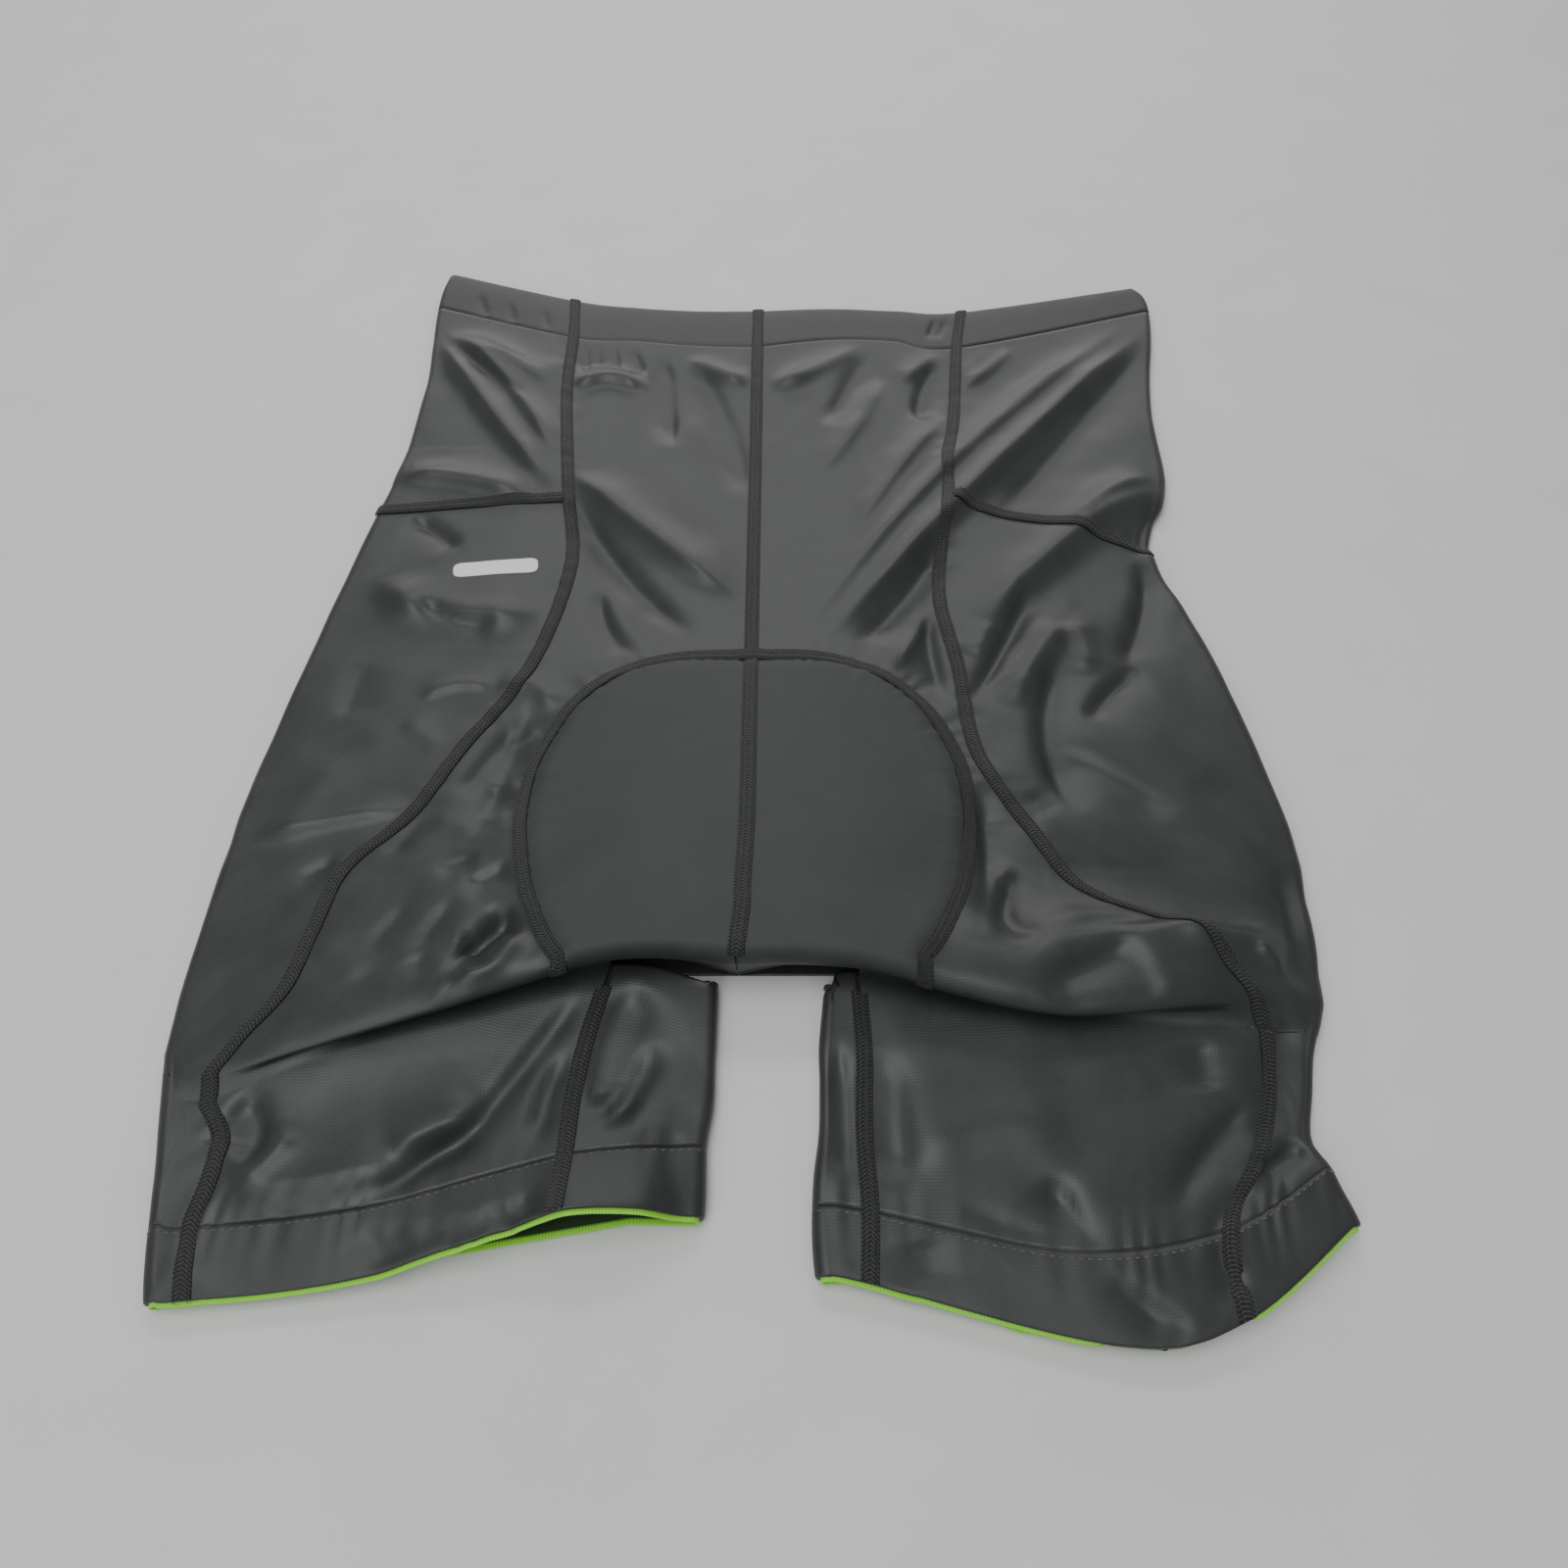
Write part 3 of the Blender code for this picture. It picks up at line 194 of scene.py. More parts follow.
# The folds that are made: above the seat lip, on the legs, and in the waistband and hems. The columns
# are the fold, its start, middle and end in plan, its half width and its height, which is below 0 for
# a trough.
SEAT_FOLDS = (
    ("hip ridge left a", (-172, 222), (-128, 182), (-100, 117), 5, 4.8),
    ("hip ridge left b", (-174, 216), (-135, 144), (-98, 97), 6, 5.2),
    ("hip crease left", (-162, 206), (-140, 181), (-118, 161), 3.5, -2.2),
    ("smile ridge left", (-166, 221), (-139, 200), (-107, 174), 6, 3.4),
    ("smile ridge over the seam", (-99, 173), (-81, 190), (-62, 173), 4, 3.6),
    ("waist pleat a", (-96, 210), (-94, 200), (-93, 187), 2.5, -2.3),
    ("waist pleat b", (-88, 210), (-89, 201), (-86, 189), 2.5, -2.2),
    ("waist pleat c", (-81, 209), (-79, 199), (-77, 187), 2.5, -2.4),
    ("waist pleat d", (-71, 207), (-69, 198), (-63, 186), 3, -3.4),
    ("waist trough left a", (-55, 203), (-51, 175), (-46, 128), 4.5, -5.4),
    ("waist trough left b", (-41, 197), (-17, 151), (-10, 93), 7, -4.8),
    ("waist ridge left", (-43, 199), (-23, 184), (-7, 177), 5, 3.8),
    ("seat ridge left", (-95, 112), (-44, 55), (-9, 28), 8, 6.0),
    ("seat trough left", (-91, 93), (-63, 37), (-29, 4), 6, -4.1),
    ("seat crease left", (-74, 36), (-70, 5), (-54, -5), 4, -2.6),
    ("yoke ridge left", (-178, 105), (-164, 114), (-109, 93), 6, 4.8),
    ("yoke creases left", (-166, 81), (-150, 72), (-141, 60), 4, -3.1),
    ("pocket ridge left", (-173, 44), (-149, 3), (-94, 25), 9, 5.0),
    ("pocket lens left", (-153, 28), (-136, 12), (-115, 15), 3.5, -4.1),
    ("side pinch left", (-142, -28), (-134, -15), (-113, -21), 3.2, 1.8),
    ("side pinch over the seam", (-112, -23), (-97, -12), (-86, -34), 3.4, 1.7),
    ("crumple left a", (-95, -27), (-102, -56), (-109, -96), 8, -4.3),
    ("crumple left b", (-101, -40), (-113, -58), (-119, -77), 4, -2.2),
    ("crumple ridge left a", (-105, -48), (-98, -48), (-91, -41), 3.2, 1.3),
    ("crumple ridge left b", (-110, -67), (-103, -72), (-95, -69), 3.2, 1.3),
    ("crumple ridge left c", (-111, -84), (-106, -90), (-97, -86), 3.4, 1.0),
    ("crumple ridge left", (-129, -89), (-121, -88), (-109, -93), 3.6, 0.9),
    ("crumple left d", (-133, -86), (-137, -93), (-143, -103), 2.6, -1.1),
    ("crumple left e", (-122, -111), (-116, -108), (-107, -106), 3, -1.4),
    ("crumple left f", (-94, -109), (-99, -115), (-110, -118), 4, -2.4),
    ("crumple left g", (-131, -125), (-135, -134), (-143, -143), 2.6, -1.1),
    ("crumple left h", (-113, -124), (-118, -132), (-124, -144), 2.6, -1.3),
    ("corner ridge left", (-110, -155), (-91, -162), (-85, -136), 5.5, 5.5),
    ("corner hollow left", (-109, -146), (-103, -150), (-90, -128), 6, -9.0),
    ("lip crease left a", (-123, -146), (-120, -151), (-117, -157), 3, -1.4),
    ("lip ridge left", (-111, -150), (-110, -158), (-111, -167), 4, 1.4),
    ("side crease left", (-197, -94), (-175, -87), (-138, -81), 3, 2.4),
    ("side trough left", (-176, -115), (-170, -107), (-161, -105), 4.5, -1.6),
    ("side ridge left", (-164, -141), (-153, -142), (-141, -156), 4, 1.4),
    ("side line left", (-148, -37), (-139, -45), (-129, -55), 4, 1.0),
    ("side fold left", (-171, -7), (-174, -21), (-173, -37), 5, -1.4),
    ("side swell left", (-170, -54), (-179, -71), (-187, -100), 12, 1.4),
    ("waist ridge right", (-1, 176), (19, 176), (51, 212), 6, 4.2),
    ("waist hollow right", (57, 208), (48, 190), (30, 144), 7, -4.4),
    ("waist trough right", (88, 197), (79, 171), (76, 148), 4.5, -5.2),
    ("waist small ridge right", (93, 203), (75, 188), (69, 177), 5, 3.4),
    ("loose ridge right", (91, 153), (58, 105), (40, 66), 6, 3.2),
    ("loose ridge right b", (56, 186), (60, 166), (27, 110), 6, 2.4),
    ("seam ridge right a", (130, 209), (119, 191), (100, 174), 4, 3.2),
    ("seam ridge right b", (116, 207), (110, 196), (101, 186), 3, 1.2),
    ("diagonal ridge a", (201, 236), (80, 120), (18, 9), 6, 4.3),
    ("diagonal ridge b", (204, 225), (99, 102), (26, 3), 6, 6.0),
    ("diagonal trough", (202, 210), (149, 137), (105, 73), 7, -3.6),
    ("diagonal low trough", (84, 69), (65, 28), (39, -1), 7, -4.3),
    ("seat small ridge right", (72, 24), (65, 1), (55, -13), 4, 2.6),
    ("seam side trough right", (71, 24), (71, -3), (76, -29), 4, -3.4),
    ("hip ridge right", (189, 101), (130, 66), (93, 6), 8, 6.0),
    ("hip ridge right b", (188, 105), (168, 108), (139, 69), 5, 2.4),
    ("hip hollow right", (187, 89), (169, 68), (176, 56), 5, -5.0),
    ("pocket trough right", (168, 52), (178, 40), (154, -8), 4, -4.3),
    ("side low trough right", (118, 42), (116, 20), (86, -30), 4, -4.3),
    ("side small ridge right", (99, 13), (95, 4), (91, -5), 4, 1.9),
    ("side ridge right", (103, -32), (115, -6), (132, 16), 7, 4.1),
    ("side ridge right b", (132, 16), (139, 11), (137, -14), 5, 2.4),
    ("side trough right", (129, -0), (105, -48), (125, -84), 5, -4.6),
    ("side trough right b", (118, -51), (135, -61), (163, -84), 6, -2.2),
    ("side slash right", (161, -11), (148, -16), (134, -39), 3.5, -3.8),
    ("side small trough right", (108, -73), (111, -78), (115, -84), 4, -1.4),
    ("pad side trough right", (85, -70), (91, -92), (80, -143), 6, -5.3),
    ("pad side ridge right", (96, -105), (82, -123), (82, -145), 5, 4.1),
    ("pad side hook right", (96, -112), (82, -142), (103, -137), 4, -3.8),
    ("roll crest", (97, -138), (139, -118), (172, -148), 6, 4.1),
    ("roll wedge", (136, -142), (119, -151), (97, -162), 5, -4.1),
    ("roll swell", (167, -153), (152, -157), (135, -159), 8, 2.2),
    ("edge trough right", (196, -107), (202, -127), (191, -157), 6, -3.6),
    ("edge crease right", (179, -141), (183, -146), (189, -151), 3.5, 2.2),
)
LEG_FOLDS = (
    ("leg hook left", (-178, -195), (-162, -206), (-171, -219), 5, -4.2),
    ("leg ridge left a", (-154, -206), (-161, -216), (-170, -227), 5, 2.4),
    ("leg ridge left b", (-93, -202), (-109, -206), (-122, -215), 5, 3.6),
    ("leg ridge left c", (-113, -218), (-138, -227), (-176, -236), 6, 3.6),
    ("leg blade left", (-95, -205), (-114, -220), (-126, -233), 4, -5.4),
    ("leg line left", (-64, -156), (-80, -182), (-105, -220), 3, -3.2),
    ("leg line left b", (-66, -177), (-77, -198), (-72, -216), 3, -3.0),
    ("inner blade left", (-43, -154), (-55, -178), (-55, -201), 5, -5.4),
    ("inner line left", (-38, -175), (-39, -187), (-52, -209), 3, -3.6),
    ("inner ridge left", (-46, -211), (-34, -206), (-20, -210), 3, 1.8),
    ("inner strip right", (43, -178), (46, -201), (46, -227), 7, -4.2),
    ("inner line right", (28, -175), (30, -202), (30, -224), 3, -2.8),
    ("leg crease right a", (67, -232), (81, -239), (103, -244), 3, -3.2),
    ("leg crease right b", (96, -222), (101, -235), (111, -250), 4, -4.2),
    ("leg swell right", (49, -215), (80, -203), (105, -202), 9, 1.8),
    ("leg fold right", (169, -197), (149, -212), (134, -235), 5, -3.6),
    ("hem blade right", (162, -225), (151, -236), (138, -249), 5, -5.8),
    ("edge blade right", (183, -211), (173, -218), (165, -222), 4, -5.1),
    ("edge strip right", (188, -164), (180, -188), (168, -215), 7, -4.5),
    ("leg soft right", (154, -175), (154, -184), (155, -194), 6, -1.8),
)
BAND_FOLDS = (
    ("band pleat a", (-158, 252), (-155, 244), (-151, 234), 1.6, -1.3),
    ("band pleat b", (-141, 245), (-138, 237), (-136, 228), 1.6, -1.3),
    ("band pleat c", (-121, 238), (-119, 232), (-117, 223), 1.5, -1.0),
    ("band pleat d", (90, 231), (88, 223), (85, 215), 1.7, -1.5),
    ("band pleat e", (96, 231), (93, 223), (90, 215), 1.7, -1.5),
    ("hem pleat a", (-125, -238), (-121, -243), (-115, -250), 3, -1.3),
    ("hem pleat b", (-117, -237), (-114, -241), (-109, -248), 3, -1.2),
    ("hem pleat c", (-105, -236), (-104, -239), (-101, -244), 2.5, -1.0),
    ("hem pleat d", (-98, -236), (-96, -240), (-92, -244), 2.5, -1.1),
    ("hem pleat e", (-91, -235), (-90, -238), (-87, -243), 2.5, -1.1),
    ("hem pleat f", (-86, -233), (-80, -237), (-76, -242), 3, -2.4),
    ("hem pleat g", (-77, -230), (-74, -232), (-71, -237), 3, -2.2),
    ("hem shade right", (54, -241), (55, -248), (57, -256), 7, -1.9),
    ("hem pleat right a", (111, -253), (119, -262), (128, -269), 3, -1.5),
    ("hem pleat right b", (117, -256), (125, -264), (135, -269), 3, -1.4),
    ("hem pleat right c", (146, -244), (149, -251), (153, -258), 3, -1.5),
    ("mouth arch", (-24, -236), (-46, -240), (-70, -243), 13, 5.0),
)

# The right half of the pad's seam, from the seat lip to its top: distance from its middle line, and y.
HORSESHOE = ((64, -151), (70, -143), (79, -124), (84, -106), (87, -85), (85, -60), (74, -34), (57, -17),
             (32, -8), (0, -6))
HORSESHOE_MIDDLE = -6     # x of that middle line
PAD_MIDDLE = -75.0        # y of the pad's middle
PAD_SEAM_POINTS = 220
PAD_SEAM_LIFT = 0.1
CENTRE_BACK = -5.0        # x of the centre-back seam, which the pad's seam rides over
CROSSING_LIFT = 0.8
CROSSING_WIDTH = 5.0
STEPS_TO_BROW = 8         # the pad's seam goes on to the brow of the lip by so many steps at most,
BROW_STEP = 2.0           # each this long,
BROW_DROP = 1.6           # and stops before one that falls by more than this.
LIP_DROPS = (2.0, 4.0, 6.0, 8.0, 10.0, 12.0)   # Then it runs down the lip's front by these drops,
LIP_AHEAD = 3.0           # each looked for from this far in front.
PAD_EDGE_RISE = 2.2       # the step in the cloth where the pad's edge lies under it,
PAD_EDGE_START = 4.0      # which begins this far outside the seam
PAD_EDGE_RUN = 12.0       # and is this wide,
PAD_TOP_RUN = 8.0         # or this wide at the top of the horseshoe
OVER_PAD_RUN = 3.0        # the knit turns duller over this width inside the seam
PAD_TAUTNESS = 0.8        # share of the knit's slack that the pad takes up
FOAM_FRONT = -138.0       # y of the foam's front end
FOAM_INSET = 8.0          # the foam ends this far inside its seam
FOAM_GAP = 0.6            # between the knit's wall and the foam
FOAM_EDGE_FALL = 2.2      # how far the foam's top rounds down at its rim
FOAM_EDGE_POWER = 10      # the higher, the closer to the rim it does
FOAM_RINGS = 22
FOAM_MIDDLE = 0.02        # the smallest ring, as a share of the outline

# The foam's underside: the share of the outline, and the height, which at the rim is at most its top's.
FOAM_UNDERSIDE = ((1.0, 5.0), (0.985, 2.6), (0.95, 1.9), (0.5, 1.9), (FOAM_MIDDLE, 1.9))

# Gathers that a line of stitching draws in: how far they reach from it, their spacing and height.
GATHERS = {
    "side seam": (7.0, 13.0, 0.22),
    "waist line": (12.0, 9.0, 0.35),
    "hem stitching": (11.0, 8.0, 0.3),
    "pad seam": (10.0, 7.5, 0.3),
}
LEFT_SEED = 0.4           # these keep the gathers of different places unlike each other
RIGHT_SEED = 1.7
PAD_SEED = 0.9

SLACK = ((42.0, 0.55), (23.0, 0.4), (12.0, 0.2))   # width and height of each size of unevenness
NOISE_SEED = 11
NOISE_CELLS = 64


def unit(vectors):
    """The same directions with a length of 1."""
    return vectors / np.linalg.norm(vectors, axis=-1)[..., None]


def ease(share):
    """A share from 0 to 1 that starts and stops softly."""
    return share * share * (3.0 - 2.0 * share)


def lengths(points, axis=0):
    """Length along a line, or along a grid's lines, up to each point."""
    gaps = np.linalg.norm(np.diff(points, axis=axis), axis=-1)
    return np.concatenate([np.zeros_like(np.take(gaps, [0], axis=axis)), np.cumsum(gaps, axis=axis)],
                          axis=axis)


def read_along(wanted, along, values):
    """Read rows of three values, given at places along a line, at the wanted places."""
    return np.column_stack([np.interp(wanted, along, values[:, axis]) for axis in range(3)])


def smooth_along(values, passes):
    """Even out values along a line."""
    for _ in range(passes):
        padded = np.vstack([values[:1], values, values[-1:]])
        values = (padded[:-2] + 2.0 * padded[1:-1] + padded[2:]) / 4.0
    return values


def curve_through(values, places):
    """Read a smooth curve through evenly numbered values at fractional places."""
    values = np.asarray(values, float)
    last = len(values) - 1
    low = np.clip(np.floor(places).astype(int), 0, last - 1)
    part = (np.asarray(places, float) - low).reshape((-1,) + (1,) * (values.ndim - 1))
    before = values[np.maximum(low - 1, 0)]
    start = values[low]
    end = values[low + 1]
    after = values[np.minimum(low + 2, last)]
    start_slope = 0.5 * (end - before)
    end_slope = 0.5 * (after - start)
    return (start * (2 * part**3 - 3 * part**2 + 1) + start_slope * (part**3 - 2 * part**2 + part)
            + end * (3 * part**2 - 2 * part**3) + end_slope * (part**3 - part**2))


def lip_sections(above, lip, leg, hangs):
    """The sections that roll over the seat lip."""
    reach = OVERHANG * np.array(HANGS_AT) * hangs
    free = 1.0 - np.clip(reach / FREE_REACH, 0.0, 1.0)
    sections = []
    for _, back, overhang, forward, height in LIP_PROFILE:
        section = lip + back * (above - lip)
        section[:, :2] += (forward * free)[:, None] * (leg - lip)[:, :2]
        section[:, 1] += overhang * reach
        section[:, 2] = leg[:, 2] + height * (lip[:, 2] - leg[:, 2])
        sections.append(section)
    return sections


def close_crotch(sections, names, leg_start):
    """Bring the hidden end of the seat down to the lower layer between the legs."""
    front = sections[names.index("front")][CENTRE]
    for name, share in CROTCH_DROP.items():
        row = names.index(name)
        sections[row][CENTRE, 2] = CROTCH_HEIGHT + share * (front[2] - CROTCH_HEIGHT)
        sections[row][CENTRE, 1] = front[1] + CROTCH_BACK + share * (CROTCH_FORWARD - CROTCH_BACK)
    for name in ("out", "leg start"):
        sections[names.index(name)][CENTRE, :2] = leg_start
    sections[names.index("out")][CENTRE, 1] += CROTCH_BACK - CROTCH_FORWARD


def all_sections(table, hangs=1.0):
    """Measured and lip sections in order, with their names and coarse rows to the next one."""
    names = []
    rows = []
    sections = []
    leg = np.array([row[2:] for row in table if row[0] == "leg start"][0], float)
    for name, count, *points in table:
        points = np.array(points, float)
        if name == "lip":
            sections += lip_sections(sections[-1], points, leg, hangs)
            names += [row[0] for row in LIP_PROFILE]
            rows += [1] * len(LIP_PROFILE)
        else:
            sections.append(points)
            names.append(name)
            rows.append(count)
    if hangs > 0:
        close_crotch(sections, names, leg[0][:2])
    return names, rows, np.array(sections)


def grid_places(counts):
    """Fractional places of grid lines, given how many steps each stretch has."""
    places = [0.0]
    for number, count in enumerate(counts):
        places += [number + (step + 1) / count for step in range(count)]
    return np.array(places)


def fold_line(start, middle, end):
    """A bent fold line in plan."""
    part = np.linspace(0.0, 1.0, FOLD_POINTS)[:, None]
    return (np.array(start) * (1 - part)**2 + 2 * np.array(middle) * part * (1 - part)
            + np.array(end) * part**2)


def near_line(points, line):
    """Distance from plan points to a line, how far along it they lie, its length, and the way to them."""
    best = np.full(points.shape[:-1], np.inf)
    along = np.zeros(points.shape[:-1])
    way = np.zeros(points.shape)
    travelled = 0.0
    for start, end in zip(line[:-1], line[1:]):
        run = end - start
        length = np.linalg.norm(run)
        part = np.clip(((points - start) @ run) / (length * length), 0.0, 1.0)
        offset = points - start - part[..., None] * run
        gap = np.linalg.norm(offset, axis=-1)
        nearer = gap < best
        way = np.where(nearer[..., None], offset, way)
        best = np.where(nearer, gap, best)
        along = np.where(nearer, travelled + part * length, along)
        travelled += length
    return best, along, travelled, way


def fold_height(points, folds):
    """Sum of the folds over plan points. A ridge has a crisp crest and is steeper towards the hems, a
    trough is steeper towards the waist, and both die away at their ends."""
    height = np.zeros(points.shape[:-1])
    for _, start, middle, end, width, rise in folds:
        line = fold_line(start, middle, end)
        margin = FOLD_MARGIN * width
        near = np.all((points > line.min(axis=0) - margin) & (points < line.max(axis=0) + margin), axis=-1)
        if not near.any():
            continue
        gap, along, length, way = near_line(points[near], line)
        share = along / length
        fade = ease(np.clip(np.minimum(share, 1.0 - share) * FOLD_RUN_IN + FOLD_START, 0.0, 1.0))
        upward = np.array([start[1] - end[1], end[0] - start[0]], float)
        upward *= 1.0 if upward[1] > 0 else -1.0
        on_broad_side = way @ upward * rise > 0
        reach = width * np.where(on_broad_side, BROAD_SIDE, STEEP_SIDE)
        crest = CREST_RADIUS * width / CREST_WIDTH
        from_crest = (np.sqrt(gap**2 + crest**2) - crest) / reach
        height[near] += rise * fade * np.exp(-from_crest**CREST_SHAPE)
    return height


def gathers(distance, along, kind, seed):
    """Small uneven puckers beside a line of stitching."""
    reach, pitch, height = GATHERS[kind]
    phase = 2 * np.pi * along / pitch
    drift = 2.1 * np.sin(phase / 5.3 + seed)
    swell = 0.6 + 0.4 * np.sin(phase / 3.1 + 2 * seed)
    return height * (np.sin(phase + drift) * swell) * np.exp(-(distance / reach)**2)


def cloudy(points):
    """Smooth seeded noise over plan points, between about -1 and 1, with features one unit wide."""
    table = np.random.default_rng(NOISE_SEED).uniform(-1.0, 1.0, (NOISE_CELLS, NOISE_CELLS))
    low = np.floor(points).astype(int)
    part = ease(points - low)
    across, down = part[..., 0], part[..., 1]
    near_x, near_y = low[..., 0] % NOISE_CELLS, low[..., 1] % NOISE_CELLS
    far_x, far_y = (low[..., 0] + 1) % NOISE_CELLS, (low[..., 1] + 1) % NOISE_CELLS
    upper = table[near_x, near_y] * (1 - across) + table[far_x, near_y] * across
    lower = table[near_x, far_y] * (1 - across) + table[far_x, far_y] * across
    return upper * (1 - down) + lower * down


def slack(points):
    """The faint unevenness of knit that lies loose."""
    height = np.zeros(points.shape[:-1])
    for size, rise in SLACK:
        height += rise * cloudy(points / size + size)
    return height


def horseshoe_line(places, inset=0.0):
    """Plan points of the seat pad's seam, from its left end over the top to its right end."""
    half = np.array(HORSESHOE, float)
    whole = np.vstack([half * (-1, 1), (half * (1, 1))[::-1][1:]])
    whole[:, 0] += HORSESHOE_MIDDLE
    line = curve_through(whole, places * (len(whole) - 1))
    away = unit(line - np.array([HORSESHOE_MIDDLE, PAD_MIDDLE]))
    return line - inset * away


def inside_pad(points):
    """How far inside the pad's outline a plan point lies, below 0 outside."""
    outline = np.array(HORSESHOE, float)
    order = np.argsort(outline[:, 1])
    half = np.interp(points[..., 1], outline[order, 1], outline[order, 0], right=0.0)
    return half - np.abs(points[..., 0] - HORSESHOE_MIDDLE)


def pad_rise(points):
    """The step in the cloth where the pad's edge lies under it."""
    top = np.clip((HORSESHOE[-1][1] - points[..., 1]) / PAD_TOP_RUN, 0.0, 1.0)
    share = np.clip((inside_pad(points) + PAD_EDGE_START) / PAD_EDGE_RUN, 0.0, 1.0) * top
    return PAD_EDGE_RISE * ease(share)


def normals_of(points):
    """Directions out of a grid whose columns run round the garment."""
    return unit(np.cross(np.gradient(points, axis=1), np.gradient(points, axis=0)))


def edge_directions(edge, beside):
    """Directions straight out from an edge, eased along it."""
    run = np.gradient(edge, axis=0)
    out = np.column_stack([run[:, 1], -run[:, 0]])
    out *= np.sign(np.sum(out * (edge - beside), axis=1))[:, None]
    return unit(smooth_along(unit(out), EDGE_EASING))


def edge_arc(top, out):
    """Points round an edge and on under it, and the way each faces."""
    radius = top[:, 2] / 2.0
    points = []
    normals = []
    for angle in np.radians(np.linspace(0.0, 180.0, ROLL_STEPS + 1)[1:]):
        plan = top[:, :2] + out * (radius * np.sin(angle))[:, None]
        points.append(np.column_stack([plan, radius * (1.0 + np.cos(angle))]))
        normals.append(np.column_stack([out * np.sin(angle), np.full(len(top), np.cos(angle))]))
    for step in range(1, WRAP_STEPS + 1):
        plan = top[:, :2] - out * WRAP * step / WRAP_STEPS
        points.append(np.column_stack([plan, np.zeros(len(top))]))
        normals.append(normals[ROLL_STEPS - 1])
    return points, normals


class Half:
    """One half of the garment: fine grids over its upper side, round its edges and underneath."""

    def __init__(self, table, mirror):
        self.mirror = mirror
        self.seed = RIGHT_SEED if mirror else LEFT_SEED
        names, counts, sections = all_sections(table)
        lip_names = [row[0] for row in LIP_PROFILE]
        steps = [count * (LIP_ROWS_EACH if name in lip_names else ROWS_EACH)
                 for name, count in zip(names, counts)][:-1]
        self.coarse = grid_places(counts[:-1])
        self.coarse_row = dict(zip(names, np.cumsum([0] + counts[:-1])))
        self.places = grid_places(steps)
        self.names = names
        self.row = dict(zip(names, np.cumsum([0] + steps)))
        self.column = dict(zip((CENTRE, INNER, MIDDLE, SIDE, EDGE), np.cumsum((0,) + COLUMNS_BETWEEN)))
        lines = self.set_in_edges(curve_through(sections, self.places), curve_through(sections, self.coarse))
        top = np.stack([curve_through(row, grid_places(COLUMNS_BETWEEN)) for row in lines])
        self.share_of_seat(names)
        self.over_pad = np.clip(inside_pad(top[..., :2]) / OVER_PAD_RUN, 0.0, 1.0)
        self.over_pad *= self.seat_share[:, None]
        self.over_pad *= np.clip((HORSESHOE[-1][1] - top[..., 1]) / OVER_PAD_RUN, 0.0, 1.0)
        self.raise_folds(top)
        self.flat = curve_through(all_sections(table, hangs=0.0)[2], self.places)
        self.points, self.normals = self.wrap(top)
        self.dull = np.zeros(self.points.shape[:2])
        self.dull[:, self.first:self.first + top.shape[1]] = self.over_pad
        self.lower = self.lower_lines()

    def share_of_seat(self, names):
        """How much of each row belongs to the seat, and how much to the leg."""
        known = [names.index("above lip")] + [names.index(row[0]) for row in LIP_PROFILE]
        heights = [1.0] + [row[4] for row in LIP_PROFILE]
        self.seat_share = np.interp(self.places, known, heights, left=1.0, right=0.0)

    def raise_folds(self, top):
        """Lift the upper side by its folds, gathers and slack."""
        plan = top[..., :2]
        fade = np.clip((self.places - FADE_AT_WAIST[0]) / FADE_AT_WAIST[1], 0.0, 1.0)
        hem_fade = np.clip((len(self.names) - FADE_AT_HEM[0] - self.places) / FADE_AT_HEM[1], 0.0, 1.0)
        seat = fold_height(plan, SEAT_FOLDS) * fade[:, None] + pad_rise(plan)
        leg = fold_height(plan, LEG_FOLDS) * hem_fade[:, None]
        share = self.seat_share[:, None]
        raised = top[..., 2] + seat * share + leg * (1.0 - share) + fold_height(plan, BAND_FOLDS)
        loose = slack(plan) * (1.0 - PAD_TAUTNESS * self.over_pad)
        raised += (loose + self.all_gathers(top)) * fade[:, None]
        above = (raised - LOWEST_FOLD) * CLAMP_SHARPNESS
        eased = LOWEST_FOLD + np.logaddexp(0.0, above) / CLAMP_SHARPNESS
        in_crotch = np.zeros(len(top), bool)
        in_crotch[self.row["under"]:self.row["out"]] = True
        top[..., 2] = np.where(in_crotch[:, None], raised, eased)

    def all_gathers(self, top):
        """Puckers beside the side-back seam, the waist line, the hem stitching and the pad seam."""
        across = lengths(top[..., :2], axis=1)
        down = lengths(top[..., :2], axis=0)
        side = np.abs(across - across[:, self.column[SIDE]][:, None])
        total = gathers(side, down, "side seam", self.seed)
        waist = np.abs(down - down[self.row["band line"]])
        total += gathers(waist, across, "waist line", self.seed + 1.0)
        hem = np.abs(down - down[self.row["hem line"]])
        total += gathers(hem, across, "hem stitching", self.seed + 2.0) * (1.0 - self.seat_share)[:, None]
        gap, along = near_line(top[..., :2], horseshoe_line(np.linspace(0.0, 1.0, 60)))[:2]
        total += gathers(gap, along, "pad seam", PAD_SEED) * self.seat_share[:, None]
        return total

    def set_in_edges(self, lines, coarse):
        """Move the edge lines in by the radius of the roll that leads round them."""
        self.outward = {}
        for edge, beside, first in ((EDGE, SIDE, "waist"), (CENTRE, INNER, "out")):
            begin = self.coarse_row[first]
            out = edge_directions(coarse[begin:, edge, :2], coarse[begin:, beside, :2])
            fine = np.column_stack([np.interp(self.places, self.coarse[begin:], out[:, axis])
                                    for axis in (0, 1)])
            fine = unit(fine)
            fine[:self.row[first]] = 0.0
            lines[:, edge, :2] -= fine * lines[:, edge, 2:3] / 2.0
            self.outward[edge] = fine
        return lines

